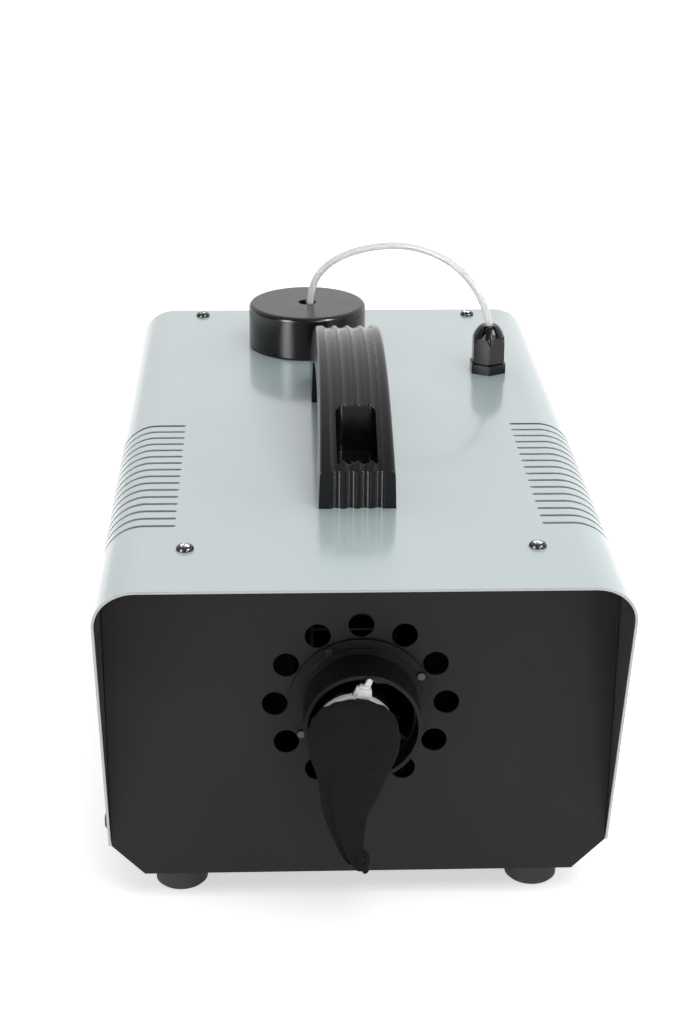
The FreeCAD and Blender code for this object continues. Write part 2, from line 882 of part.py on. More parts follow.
def make_nozzle():
    """A ring held off the outlet's axis by three arms, with a socket for the jet."""
    bore = nozzle_r - nozzle_wall
    outer = ring(nozzle_shift, nozzle_front_y, outlet_z, nozzle_r, bore, nozzle_length, Y_AXIS)
    rim = outlet_r - outlet_wall
    band = ring(0, spider_y, outlet_z, rim, rim - spider_wall, spider_width, Y_AXIS)
    hub = rod(0, spider_y, outlet_z, jet_pipe_r + jet_hub_wall, spider_width, Y_AXIS)
    arms = []
    for turn in (90, 210, 330):
        low = outlet_z - spider_arm_half
        high = outlet_z + spider_arm_half
        arm = block(0, rim - spider_wall / 2, spider_y, nozzle_rear_y, low, high)
        arm.rotate(V(0, 0, outlet_z), V(0, -1, 0), turn)
        arms.append(arm)
    nozzle = joined([outer, band, hub] + arms)
    return nozzle.cut(rod(0, spider_y - 1, outlet_z, jet_pipe_r, spider_width + 2, Y_AXIS))


def make_jet():
    """The jet pipe: it ends in a spray tip in front and a hose barb behind."""
    front = nozzle_front_y + jet_inset
    back = jet_elbow_y
    pipe = rod(0, front, outlet_z, jet_pipe_r, back - front, Y_AXIS)
    tip_start = V(0, front - jet_tip_length, outlet_z)
    tip = Part.makeCone(jet_tip_r, jet_pipe_r, jet_tip_length, tip_start, Y_AXIS)
    elbow = Part.makeSphere(jet_elbow_r, V(0, back, outlet_z))
    barb = rod(0, back, outlet_z, hose_bore_r, jet_barb_length, X_AXIS)
    jet = joined([pipe, tip, elbow, barb])
    bore_start = front - jet_tip_length - 1
    return jet.cut(rod(0, bore_start, outlet_z, jet_pipe_bore_r, back - bore_start, Y_AXIS))


def make_sock():
    """A plain stand-in: a sleeve on the nozzle, a round bag in front and a tongue that hangs."""
    axis_x = nozzle_shift
    front = nozzle_front_y - sock_bag_depth
    bag_r = sock_r + sock_bag_width
    bag = rod(axis_x, front, outlet_z, bag_r, sock_bag_depth + 0.5, Y_AXIS)
    sleeve = rod(axis_x, front, outlet_z, sock_r, sock_bag_depth + sock_sleeve, Y_AXIS)
    sleeve = bag.fuse(sleeve)
    sleeve = sleeve.cut(rod(axis_x, nozzle_front_y, outlet_z, nozzle_r, nozzle_length, Y_AXIS))
    # The tongue's outline: half widths and depths under the nozzle's axis.
    hang = [
        (-bag_r + 1.0, -8.0),
        (bag_r - 1.0, -8.0),
        (13.0, -20.0),
        (9.5, -34.0),
        (9.5, -sock_drop + 2.0),
        (6.0, -sock_drop),
        (0.0, -sock_drop),
        (-9.0, -52.0),
        (-13.5, -38.0),
        (-14.5, -22.0),
    ]
    corners = [V(axis_x + x, front, outlet_z + z) for x, z in hang]
    tongue = prism(corners, V(0, mouth_y - front - 1.5, 0))
    tied_r = sock_r + tie_thick + 0.3
    tongue = tongue.cut(rod(axis_x, nozzle_front_y, outlet_z, tied_r, nozzle_length, Y_AXIS))
    return joined([sleeve, tongue])


def make_tie():
    y = nozzle_front_y + tie_inset
    strap = ring(nozzle_shift, y, outlet_z, sock_r + tie_thick, sock_r, tie_width, Y_AXIS)
    base = outlet_z + sock_r
    x = nozzle_shift + tie_head_shift
    half = tie_head / 2
    middle = y + tie_width / 2
    low = base - 1
    head = block(x - half, x + half, middle - half, middle + half, low, low + tie_head_height)
    tail = block(
        x + 0.5,
        x + 0.5 + tie_tail_thick,
        middle - 0.4 * tie_width,
        middle + 0.4 * tie_width,
        base + 1,
        base + 1 + tie_tail_length,
    )
    tail.rotate(V(x, middle, base), Y_AXIS, tie_tail_lean)
    tie = joined([strap, head, tail])
    return tie.cut(rod(nozzle_shift, y - tie_head, outlet_z, sock_r, 3 * tie_head, Y_AXIS))


# ---- blower -------------------------------------------------------------------------------
def make_plenum():
    cup = rod(0, plenum_front_y, outlet_z, plenum_r, plenum_depth, Y_AXIS)
    inside = plenum_r - plenum_wall
    cup = cup.cut(rod(0, plenum_front_y, outlet_z, inside, plenum_depth - plenum_wall, Y_AXIS))
    mouth = block(
        -duct_half_width,
        duct_half_width,
        plenum_back_y - 2 * plenum_wall,
        plenum_back_y + plenum_wall,
        duct_low_z,
        duct_high_z,
    )
    cup = cup.cut(mouth)
    return cup.cut(rod(0, jet_elbow_y, outlet_z, hose_r, 2 * plenum_r, X_AXIS))


def scroll_outline(grow):
    """The scroll and its duct in the Y-Z plane, moved outwards by grow."""
    tongue = V(0, fan_y - tongue_r - grow, duct_low_z - grow)
    steps = 8
    growth = (scroll_top_r - tongue_r) / steps
    points = [tongue]
    for i in range(1, steps + 1):
        # from the front, under the fan and round its back, to above it
        turn = math.radians(180 + 270.0 * i / steps)
        radius = tongue_r + growth * i + grow
        points.append(V(0, fan_y + radius * math.cos(turn), fan_z + radius * math.sin(turn)))
    points[-1] = V(0, fan_y, duct_high_z + grow)
    curve = Part.BSplineCurve()
    curve.interpolate(points)
    roof = V(0, plenum_back_y, duct_high_z + grow)
    floor = V(0, plenum_back_y, duct_low_z - grow)
    edges = [
        curve.toShape(),
        Part.makeLine(points[-1], roof),
        Part.makeLine(roof, floor),
        Part.makeLine(floor, points[0]),
    ]
    return Part.Face(Part.Wire(edges))


def make_volute():
    half = scroll_half_width
    outer = scroll_outline(scroll_wall)
    outer.translate(V(-half, 0, 0))
    inner = scroll_outline(0)
    inner.translate(V(-duct_half_width, 0, 0))
    case = outer.extrude(V(2 * half, 0, 0)).cut(inner.extrude(V(2 * duct_half_width, 0, 0)))
    open_end = block(
        -duct_half_width,
        duct_half_width,
        plenum_back_y - 1,
        plenum_back_y + 5,
        duct_low_z,
        duct_high_z,
    )
    case = case.cut(open_end)
    case = case.cut(rod(-half - 1, fan_y, fan_z, fan_inlet_r, scroll_wall + 2, X_AXIS))
    return case.cut(rod(duct_half_width - 1, fan_y, fan_z, bearing_r, scroll_wall + 2, X_AXIS))


def make_fan():
    left = -fan_length / 2
    right = fan_length / 2
    inner = fan_r - fan_blade_depth
    plate = rod(right - fan_disc, fan_y, fan_z, fan_r, fan_disc, X_AXIS)
    hub = rod(right - fan_hub_length, fan_y, fan_z, bearing_r, fan_hub_length, X_AXIS)
    rim = ring(left, fan_y, fan_z, fan_r, inner, fan_disc, X_AXIS)
    shapes = [plate, hub, rim]
    for i in range(fan_blade_count):
        blade = block(
            left,
            right,
            fan_y - fan_blade_thick / 2,
            fan_y + fan_blade_thick / 2,
            fan_z + inner + fan_blade_thick / 2,
            fan_z + fan_r - fan_blade_thick / 2,
        )
        blade.rotate(V(0, fan_y, fan_z + (inner + fan_r) / 2), X_AXIS, fan_blade_lean)
        blade.rotate(V(0, fan_y, fan_z), X_AXIS, 360.0 * i / fan_blade_count)
        shapes.append(blade)
    fan = shapes[0].multiFuse(shapes[1:])
    fan = fan.common(rod(left, fan_y, fan_z, fan_r, fan_length, X_AXIS))
    return fan.cut(rod(left, fan_y, fan_z, shaft_r, fan_length + 1, X_AXIS))


def make_motor():
    bells = []
    for start in (scroll_half_width, motor_end_x - motor_bell):
        bell = ring(start, fan_y, fan_z, motor_r, bearing_r, motor_bell, X_AXIS)
        for y, z in around(motor_bell_holes, (motor_r + bearing_r) / 2):
            y += fan_y
            z += fan_z
            bell = bell.cut(rod(start - 1, y, z, motor_bell_hole_r, motor_bell + 2, X_AXIS))
        bells.append(bell)
    save_group("motor_bells", bells)
    can_length = motor_length - 2 * motor_bell
    can_x = scroll_half_width + motor_bell
    inside = motor_r - motor_wall
    save("motor_can", ring(can_x, fan_y, fan_z, motor_r, inside, can_length, X_AXIS))
    stator_x = motor_middle_x - stator_length / 2
    stator = ring(stator_x, fan_y, fan_z, inside, rotor_r + rotor_gap, stator_length, X_AXIS)
    save("motor_stator", stator)
    rotor_x = motor_middle_x - rotor_length / 2
    save("motor_rotor", ring(rotor_x, fan_y, fan_z, rotor_r, shaft_r, rotor_length, X_AXIS))
    shaft_x = fan_length / 2 - fan_hub_length - fan_disc
    save("motor_shaft", rod(shaft_x, fan_y, fan_z, shaft_r, motor_end_x + 1 - shaft_x, X_AXIS))
    bearings = []
    for x in (scroll_half_width - 1.0, motor_end_x - motor_bell):
        bearings.append(
            ring(x, fan_y, fan_z, bearing_r, shaft_r + running_gap, bearing_width, X_AXIS)
        )
    save_group("motor_bearings", bearings)


def make_cradles():
    """Saddles on the tray that carry the scroll and the motor."""
    scroll = scroll_outline(scroll_wall)
    scroll.translate(V(-scroll_half_width, 0, 0))
    saddle = block(
        -saddle_half_width,
        saddle_half_width,
        fan_y - saddle_half_length,
        fan_y + saddle_half_length,
        floor_z,
        fan_z - fan_r,
    )
    save("blower_saddle", saddle.cut(scroll.extrude(V(2 * scroll_half_width, 0, 0))))
    cradle = block(
        motor_middle_x - cradle_half_width,
        motor_middle_x + cradle_half_width,
        fan_y - cradle_half_length,
        fan_y + cradle_half_length,
        floor_z,
        fan_z - cradle_rise,
    )
    motor = rod(scroll_half_width, fan_y, fan_z, motor_r, motor_length, X_AXIS)
    save("motor_cradle", cradle.cut(motor))


# ---- tank, cap and hoses ------------------------------------------------------------------
def make_tank():
    x0 = tank_left_x
    x1 = tank_right_x
    outer = block(x0, x1, tank_front_y, tank_rear_y, floor_z, tank_top_z)
    outer = outer.makeFillet(tank_edge_r, outer.Edges)
    wall = tank_wall
    inner = block(
        x0 + wall,
        x1 - wall,
        tank_front_y + wall,
        tank_rear_y - wall,
        floor_z + wall,
        tank_top_z - wall,
    )
    inner = inner.makeFillet(tank_edge_r - wall, inner.Edges)
    start = tank_top_z - 4 * wall
    neck_height = neck_top_z - tank_top_z + wall
    neck = rod(cap_x, cap_y, tank_top_z - wall, neck_r - neck_thread, neck_height)
    thread = rod(cap_x, cap_y, neck_top_z - thread_drop, neck_r, thread_height)
    collar_z = cover_inside_z - 1 - collar_height
    collar = rod(cap_x, cap_y, collar_z, neck_r + collar_reach, collar_height)
    tank = joined([outer, neck, thread, collar])
    bore = rod(cap_x, cap_y, start, neck_bore_r, neck_top_z - start + 1)
    return tank.cut(inner).cut(bore)


def make_tank_bracket():
    """An angled sheet on the tray that stops the tank from sliding forward."""
    x0 = tank_middle_x - bracket_half_width
    x1 = tank_middle_x + bracket_half_width
    y = tank_front_y
    wall = block(x0, x1, y - sheet, y, floor_z, floor_z + bracket_height)
    foot = block(x0, x1, y - bracket_foot, y, floor_z, floor_z + sheet)
    return joined([wall, foot])


def make_cap():
    cap = turned(
        [
            (0, cap_top_z),
            (cap_r, cap_top_z),
            (cap_r, cap_bottom_z + cap_rim_edge),
            (cap_r - cap_rim_edge, cap_bottom_z),
            (cap_r - cap_wall, cap_bottom_z),
            (cap_r - cap_wall, cap_top_z - cap_top_wall),
            (0, cap_top_z - cap_top_wall),
        ],
        cap_x,
        cap_y,
    )
    top = V(cap_x, cap_y, cap_top_z)
    rim = [e for e in cap.Edges if (e.CenterOfMass - top).Length < 1 and e.Length > cap_r]
    cap = cap.makeFillet(cap_top_round, rim)
    return cap.cut(rod(cap_x, cap_y, cap_bottom_z, cap_hole_r, cap_height + 1))


def make_liner():
    outer = cap_r - cap_wall - liner_side_gap
    return ring(cap_x, cap_y, neck_top_z + liner_gap, outer, cap_hole_r, liner_thick)


def make_suction():
    z = suction_bottom_z
    hose = ring(hose_x, cap_y, z, hose_r, hose_bore_r, cap_top_z - z)
    save("suction_hose", hose)
    body = rod(hose_x, cap_y, z - strainer_bottom, strainer_r, strainer_height)
    body = body.cut(rod(hose_x, cap_y, z, hose_r, strainer_height))
    half = strainer_slot_width / 2
    near = cap_y + (hose_r + strainer_r) / 2 - 1
    for i in range(4):
        slot = block(
            hose_x - half, hose_x + half, near, cap_y + strainer_r + 1, z, z + strainer_slot_height
        )
        slot.rotate(V(hose_x, cap_y, z), Z_AXIS, 90 * i)
        body = body.cut(slot)
    save("suction_strainer", body)


def make_free_hose():
    points = [V(*place) for place in free_hose_points]
    save("feed_hose", swept(cord_path(points, "feed_hose"), hose_r))


# ---- gland --------------------------------------------------------------------------------
def make_gland():
    base = body_top
    x = gland_x
    y = gland_y
    flange = hexagon(x, y, base, gland_flange_across, gland_flange_height)
    thread_length = gland_below + gland_body_top
    thread = rod(x, y, base - gland_below, gland_thread_r, thread_length)
    body = joined([flange, thread])
    save("gland_body", body.cut(rod(x, y, base - gland_below, gland_bore_r, thread_length)))
    nut_z = base + gland_flange_height + gland_nut_gap
    top = gland_top_z
    side = hexagon(x, y, nut_z, gland_nut_across, top - nut_z)
    widest = gland_nut_across / math.sqrt(3)
    dome = turned(
        [
            (0, nut_z),
            (widest - 0.6, nut_z),
            (widest, nut_z + 0.6),
            (widest, top - 10.5),
            (widest - 0.9, top - 7.0),
            (widest - 2.4, top - 3.6),
            (widest - 4.0, top - 1.3),
            (gland_nut_top_r, top),
            (0, top),
        ],
        x,
        y,
    )
    nut = side.common(dome)
    socket_depth = base + gland_body_top - nut_z + gland_nut_roof
    nut = nut.cut(rod(x, y, nut_z - 1, gland_thread_r, socket_depth))
    nut = nut.cut(rod(x, y, nut_z, hose_r + gland_hose_gap, gland_nut_height))
    nut = nut.cut(rod(x, y, top - gland_clamp_drop, gland_bore_r, gland_clamp_width))
    groove_half = gland_groove_width / 2
    turn = 360.0 / gland_finger_count
    for i in range(gland_finger_count):
        groove = block(
            x - groove_half,
            x + groove_half,
            y + hose_r + gland_groove_wall,
            y + widest + 1,
            top - gland_groove_depth,
            top + 1,
        )
        groove.rotate(V(x, y, 0), Z_AXIS, turn * (i + 0.5))
        nut = nut.cut(groove)
        place = V(x, y - widest - 0.4, top - gland_window_drop)
        window = Part.makeSphere(gland_window_r, place)
        window.rotate(V(x, y, 0), Z_AXIS, turn * i)
        nut = nut.cut(window)
    save("gland_dome_nut", nut)
    seal_z = base + gland_body_top - gland_seal_height
    save("gland_seal", ring(x, y, seal_z, gland_bore_r, hose_r, gland_seal_height))
    low = cover_inside_z - locknut_height
    locknut = hexagon(x, y, low, locknut_across, locknut_height)
    save("gland_locknut", locknut.cut(rod(x, y, low, gland_thread_r, locknut_height)))


# ---- handle -------------------------------------------------------------------------------
def handle_side(x):
    """The handle's side view without the finger gap."""
    z0 = body_top
    z1 = body_top + handle_leg_height
    front_low = V(x, handle_front_y, z0)
    front_high = V(x, handle_front_y, z1)
    top = V(x, handle_y, handle_top_z)
    rear_high = V(x, handle_rear_y, z1)
    rear_low = V(x, handle_rear_y, z0)
    return Part.Face(
        Part.Wire(
            [
                Part.makeLine(front_low, front_high),
                Part.Arc(front_high, top, rear_high).toShape(),
                Part.makeLine(rear_high, rear_low),
                Part.makeLine(rear_low, front_low),
            ]
        )
    )


def finger_gap(x):
    half = handle_gap_length / 2
    inner_r = arch_r - handle_grip
    side_z = arch_z + math.sqrt(inner_r**2 - half**2)
    left_low = V(x, handle_y - half, body_top - 1)
    left_high = V(x, handle_y - half, side_z)
    right_high = V(x, handle_y + half, side_z)
    right_low = V(x, handle_y + half, body_top - 1)
    return Part.Face(
        Part.Wire(
            [
                Part.makeLine(left_low, left_high),
                Part.Arc(left_high, V(x, handle_y, arch_z + inner_r), right_high).toShape(),
                Part.makeLine(right_high, right_low),
                Part.makeLine(right_low, left_low),
            ]
        )
    )


def make_handle():
    half = handle_base_width / 2
    body = handle_side(-half).extrude(V(handle_base_width, 0, 0))
    gap = finger_gap(-half - 1).extrude(V(handle_base_width + 2, 0, 0))
    # The sides lean in towards the top, with rounded upper corners.
    top_half = handle_top_width / 2
    z1 = handle_top_z + 1
    lean = [
        V(-half, handle_front_y, body_top),
        V(half, handle_front_y, body_top),
        V(top_half, handle_front_y, z1),
        V(-top_half, handle_front_y, z1),
    ]
    body = body.common(prism(lean, V(0, handle_length, 0)))
    arch_edges = [e for e in body.Edges if e.CenterOfMass.z > body_top + handle_leg_height + 1]
    arch_edges = [e for e in arch_edges if abs(e.CenterOfMass.x) > 1]
    body = body.makeFillet(handle_arch_edge, arch_edges)
    upright = edges_along(body, Z_AXIS)
    if upright:
        body = body.makeFillet(handle_upright_edge, upright)
    body = body.cut(gap)
    # Grooves between the ribs run over the arch and down both ends.
    pitch = handle_top_width / handle_ribs
    for i in range(1, handle_ribs):
        x = -handle_top_width / 2 + pitch * i
        reach = handle_groove_r - handle_groove_depth
        groove = Part.makeTorus(arch_r + reach, handle_groove_r, V(x, handle_y, arch_z), X_AXIS)
        keep = block(
            x - 5, x + 5, handle_front_y - 5, handle_rear_y + 5, arch_z + arch_r * 0.5, z1 + 10
        )
        body = body.cut(groove.common(keep))
        for y in (handle_front_y - reach, handle_rear_y + reach):
            body = body.cut(rod(x, y, body_top - 1, handle_groove_r, handle_leg_height + 1.5))
    # Pockets for the two fixing screws.
    for end, inwards in ((handle_front_y, 1), (handle_rear_y, -1)):
        y0, y1 = sorted(
            (
                end + inwards * handle_window_inset,
                end + inwards * (handle_window_inset + handle_window_length),
            )
        )
        w = handle_window_width / 2
        floor = body_top + handle_window_floor
        pocket = block(-w, w, y0, y1, floor, handle_top_z)
        inner_y = y1 if inwards > 0 else y0
        corners = edges_along(pocket, Z_AXIS, lambda c: abs(c.y - inner_y) < 1)
        pocket = pocket.makeFillet(handle_window_round, corners)
        body = body.cut(pocket)
        screw_y = end + inwards * handle_screw_inset
        body = body.cut(rod(0, screw_y, body_top - 1, handle_screw_r, handle_leg_height))
    return body


def make_handle_screws():
    screws = []
    nuts = []
    seat = body_top + handle_window_floor
    nut_z = cover_inside_z - handle_nut_height
    length = seat - nut_z + handle_nut_spare
    for y in handle_screw_ys:
        screws.append(screw(V(0, y, seat), Z_AXIS, length, handle_screw_r))
        nut = hexagon(0, y, nut_z, handle_nut_across, handle_nut_height)
        nuts.append(nut.cut(rod(0, y, nut_z, handle_screw_r, handle_nut_height)))
    save_group("handle_screws", screws)
    save_group("handle_nuts", nuts)


# ---- pump ---------------------------------------------------------------------------------
def make_pump():
    x = gland_x
    y = gland_y
    barrel = rod(x, y, pump_low_z, pump_barrel_r, pump_barrel_length)
    barb = rod(x, y, pump_high_z, hose_bore_r, pump_barb_length)
    foot_low_z = pump_outlet_z - pump_foot_half
    foot = rod(x, y, foot_low_z, pump_foot_r, pump_low_z - foot_low_z)
    spout = rod(x, y, pump_outlet_z, hose_bore_r, pump_spout_length, V(0, -1, 0))
    barrel = joined([barrel, barb, foot, spout])
    chamber = rod(x, y, spring_low_z, pump_bore_r, plunger_top_z + 0.3 - spring_low_z)
    save("pump_body", barrel.cut(chamber))
    half = pump_coil_height / 2
    save("pump_coil", ring(x, y, pump_z - half, pump_coil_r, pump_barrel_r, pump_coil_height))
    make_yoke(x, y, half)
    save("pump_plunger", ring(x, y, plunger_low_z, plunger_r, plunger_bore_r, plunger_length))
    make_pump_spring(x, y)
    make_pump_bracket(y, pump_z + half)


def make_yoke(x, y, half):
    """The magnetic frame: a bent strip round the coil."""
    inside = pump_coil_r + pump_yoke_gap
    outside = pump_half_width
    thick = pump_yoke_thick
    deep = pump_yoke_half
    yoke = block(
        x - outside, x + outside, y - deep, y + deep, pump_z - half - thick, pump_z + half + thick
    )
    window = block(
        x - inside, x + inside, y - deep - 1, y + deep + 1, pump_z - half, pump_z + half
    )
    bore = rod(x, y, pump_z - half - 2 * thick, pump_barrel_r, pump_coil_height + 4 * thick)
    save("pump_yoke", yoke.cut(window).cut(bore))


def make_pump_spring(x, y):
    ends = pump_spring_wire + pump_spring_gap
    height = plunger_low_z - spring_low_z - 2 * ends
    helix = Part.makeHelix(height / pump_spring_turns, height, pump_spring_r)
    section = Part.Wire([Part.makeCircle(pump_spring_wire, V(pump_spring_r, 0, 0), Y_AXIS)])
    spring = Part.Wire(helix).makePipeShell([section], True, True)
    spring.translate(V(x, y, spring_low_z + ends))
    save("pump_spring", spring)


def make_pump_bracket(y, top_z):
    """The bracket hangs the pump from the tray's lip, on two rubber mounts."""
    lip_x = panel_half_width - sheet
    shelf_z = side_bottom_z + lip_height - pump_shelf_drop
    y0 = y - pump_bracket_half
    y1 = y + pump_bracket_half
    wall = block(pump_wall_x, pump_wall_x + sheet, y0, y1, shelf_z, top_z)
    shelf = block(pump_wall_x, lip_x, y0, y1, shelf_z, shelf_z + sheet)
    hook = block(lip_x - sheet, lip_x, y0, y1, side_bottom_z + pump_hook_lift, shelf_z)
    save("pump_bracket", joined([wall, shelf, hook]))
    mount_x = pump_wall_x - pump_mount_length
    mounts = []
    for dz in (-pump_mount_half_pitch, pump_mount_half_pitch):
        mounts.append(rod(mount_x, y, pump_z + dz, pump_mount_r, pump_mount_length, X_AXIS))
    save_group("pump_mounts", mounts)


def make_inner_hoses():
    low = pump_high_z + 1
    save("pump_inlet_hose", ring(gland_x, gland_y, low, hose_r, hose_bore_r, gland_top_z - low))
    # From the pump's spout along the casing's side, under the motor's end, then in to the jet.
    # Each point is a share of the way from spout to jet, with a step sideways and a height.
    low_z = floor_z + 24.0
    spout_y = gland_y - pump_spout_length / 2
    way = [
        (0.000, 0.0, pump_outlet_z),
        (0.080, 0.0, pump_outlet_z),
        (0.220, 5.0, (pump_outlet_z + low_z) / 2),
        (0.400, 12.0, low_z + 2),
        (0.590, 16.0, low_z + 3),
        (0.770, 15.0, low_z + 18.5),
        (0.905, 9.0, outlet_z - 30),
        (0.980, -3.0, outlet_z - 9),
    ]
    route = [V(gland_x + x, spout_y + (jet_elbow_y - spout_y) * s, z) for s, x, z in way]
    route.append(V(plenum_r + 11.3, jet_elbow_y, outlet_z))
    route.append(V(jet_barb_length / 2, jet_elbow_y, outlet_z))
    path = cord_path(route, "pump_outlet_hose")
    hose = swept(path, hose_r)
    save("pump_outlet_hose", hose.cut(swept(path, hose_bore_r)))


# ---- rear panel's parts -------------------------------------------------------------------
def panel_block(x, z, half_width_x, half_height, y0, y1):
    """A block round a point of the rear panel."""
    return block(x - half_width_x, x + half_width_x, y0, y1, z - half_height, z + half_height)


def make_inlet():
    """A panel socket for a mains lead, with a fuse drawer under it."""
    x = inlet_x
    z = inlet_z
    y0 = rear_face_y
    half_w = inlet_half_width - inlet_fit
    half_h = inlet_half_height - inlet_fit
    shell = panel_block(x, z, half_w, half_h, y0 - inlet_depth, y0)
    bezel_end = y0 + inlet_bezel_thick
    bezel = panel_block(x, z, inlet_bezel_half_width, inlet_bezel_half_height, y0, bezel_end)
    bezel = bezel.makeFillet(inlet_bezel_round, edges_along(bezel, Y_AXIS))
    body = joined([shell, bezel])
    cavity = block(
        x - inlet_cavity_half_width,
        x + inlet_cavity_half_width,
        y0 - inlet_cavity_depth,
        bezel_end + 1,
        z + inlet_cavity_low,
        z + inlet_cavity_high,
    )
    upper = edges_along(cavity, Y_AXIS, lambda c: c.z > z)
    cavity = cavity.makeFillet(inlet_cavity_round, upper)
    drawer = block(
        x - fuse_half_width - fuse_gap,
        x + fuse_half_width + fuse_gap,
        y0 - fuse_depth - fuse_gap,
        bezel_end + 1,
        z + fuse_low - fuse_gap,
        z + fuse_low + fuse_height + fuse_gap,
    )
    body = body.cut(cavity).cut(drawer)
    for side in (-inlet_screw_x, inlet_screw_x):
        body = body.cut(rod(x + side, y0 - 1, z, screw_small_r, inlet_bezel_thick + 2, Y_AXIS))
    save("power_inlet", body)
    make_inlet_pins(x, z, y0)
    make_fuse_drawer(x, z, y0)
    screws = []
    for side in (-inlet_screw_x, inlet_screw_x):
        head = rod(x + side, bezel_end, z, inlet_screw_head_r, inlet_screw_head_height, Y_AXIS)
        tip = bezel_end + 0.6 - inlet_screw_length
        shank = rod(x + side, tip, z, screw_small_r, inlet_screw_length, Y_AXIS)
        screws.append(head.fuse(shank))
    save_group("inlet_screws", screws)


def make_inlet_pins(x, z, y0):
    pins = []
    back = y0 - inlet_depth
    for dx, dz in inlet_pins_at:
        low = z + dz
        high = low + inlet_pin_height
        half = inlet_pin_half
        front = y0 - inlet_pin_inset
        pins.append(block(x + dx - half, x + dx + half, y0 - inlet_cavity_depth, front, low, high))
        half = inlet_tab_half
        pins.append(block(x + dx - half, x + dx + half, back - inlet_tab_length, back, low, high))
    save_group("inlet_pins", pins)


def make_fuse_drawer(x, z, y0):
    low = z + fuse_low
    back = y0 - fuse_depth
    face = y0 + fuse_face
    half = fuse_half_width
    drawer = block(x - half, x + half, back, face, low, low + fuse_height)
    inside = half - 2 * fuse_wall
    hollow = block(
        x - inside, x + inside, back + fuse_wall, y0 - fuse_wall, low + fuse_wall, low + fuse_height + 1
    )
    lug_low = low + fuse_lug_height
    lug = block(
        x - fuse_lug_half,
        x + fuse_lug_half,
        face,
        face + fuse_lug_reach,
        lug_low,
        lug_low + fuse_lug_height,
    )
    save("fuse_drawer", joined([drawer.cut(hollow), lug]))


def make_switch():
    x = switch_x
    z = switch_z
    y0 = rear_face_y
    w = switch_half_width
    h = switch_half_height
    shell = panel_block(x, z, w - switch_fit, h - switch_fit, y0 - switch_depth, y0)
    end = y0 + switch_bezel_thick
    bezel = panel_block(x, z, w + switch_bezel_side, h + switch_bezel_end, y0, end)
    bezel = bezel.makeFillet(switch_bezel_round, edges_along(bezel, Y_AXIS))
    body = joined([shell, bezel])
    well_y = y0 - switch_well_depth
    body = body.cut(panel_block(x, z, w - switch_well_side, h - switch_well_end, well_y, end + 1))
    pin_y = y0 - rocker_pin_inset
    pin_half = w - switch_well_side / 2
    pin = rod(x - pin_half, pin_y, z, rocker_pin_r, 2 * pin_half, X_AXIS)
    save("switch_body", body.fuse(pin))
    half = w - switch_well_side - rocker_gap
    tip = h - switch_well_end - 1.4
    # The rocker's section: a wide V with two raised ends.
    section = [
        (pin_y - 3.0, -5.0),
        (y0 + 0.6, -tip - 0.4),
        (y0 + 2.6, -tip),
        (y0 + 1.4, 0.0),
        (y0 + 2.6, tip),
        (y0 + 0.6, tip + 0.4),
        (pin_y - 3.0, 5.0),
    ]
    rocker = prism([V(x - half, y, z + dz) for y, dz in section], V(2 * half, 0, 0))
    rocker = rocker.cut(rod(x - w, pin_y, z, rocker_pin_r + running_gap, 2 * w, X_AXIS))
    rocker.rotate(V(x, pin_y, z), X_AXIS, rocker_swing)
    save("switch_rocker", rocker)


# ---- electronics --------------------------------------------------------------------------
def make_electronics():
    x0 = board_left_x
    x1 = board_right_x
    y0 = board_front_y
    y1 = board_rear_y
    z = floor_z + board_height
    top = z + board_thick
    board = block(x0, x1, y0, y1, z, top)
    corner = board_corner
    corners = [(x, y) for x in (x0 + corner, x1 - corner) for y in (y0 + corner, y1 - corner)]
    for x, y in corners:
        board = board.cut(rod(x, y, z, screw_small_r, board_thick))
    save("control_board", board)
    posts = [ring(x, y, floor_z, board_post_r, screw_small_r, board_height) for x, y in corners]
    save_group("board_posts", posts)
    relay_x = x0 + corner
    relays = []
    for i in range(2):
        y = y0 + 3 * corner + relay_pitch * i
        relays.append(block(relay_x, relay_x + relay_width, y, y + relay_length, top, top + relay_height))
    save_group("relays", relays)
    make_terminals(x1 - corner - terminal_width, y0 + 2.5 * corner, top)
    make_receiver(relay_x + relay_width + 2, y0 + 3 * corner, top)


def make_terminals(x, y, z):
    terminals = block(x, x + terminal_width, y, y + terminal_length, z, z + terminal_height)
    for i in range(terminal_count):
        hole_y = y + terminal_pitch * (i + 0.75)
        deep = terminal_height / 3
        hole_z = z + terminal_height - deep
        terminals = terminals.cut(rod(x + terminal_width / 2, hole_y, hole_z, terminal_hole_r, deep))
    save("terminal_block", terminals)


def make_receiver(x, y, z):
    """A small upright board with a wire aerial."""
    end_y = y + receiver_length
    board = block(x, x + receiver_thick, y, end_y, z, z + receiver_height)
    aerial = rod(x + receiver_thick / 2, end_y - 2, z + receiver_height - 1, aerial_r, aerial_length)
    save("remote_receiver", board.fuse(aerial))


# ---- build it all -------------------------------------------------------------------------
def main():
    save("top_cover", make_cover())
    save("chassis_tray", make_tray())
    save("front_panel", make_front_panel())
    save("rear_panel", make_rear_panel())
    save_group("rubber_feet", [make_foot(x, y) for x, y in foot_places])
    make_screws()
    save("outlet_tube", make_outlet())
    save_group("outlet_screws", make_outlet_screws())
    save("snow_nozzle", make_nozzle())
    save("spray_jet", make_jet())
    save("snow_sock", make_sock())
    save("cable_tie", make_tie())
    save("air_plenum", make_plenum())
    save("blower_scroll", make_volute())
    save("blower_fan", make_fan())
    make_motor()
    make_cradles()
    save("fluid_tank", make_tank())
    save("tank_bracket", make_tank_bracket())
    save("tank_cap", make_cap())
    save("cap_liner", make_liner())
    make_suction()
    make_free_hose()
    make_gland()
    save("carry_handle", make_handle())
    make_handle_screws()
    make_pump()
    make_inner_hoses()
    make_inlet()
    make_switch()
    make_electronics()
    print(len(os.listdir("parts")), "nodes")


main()
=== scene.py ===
import json
import math

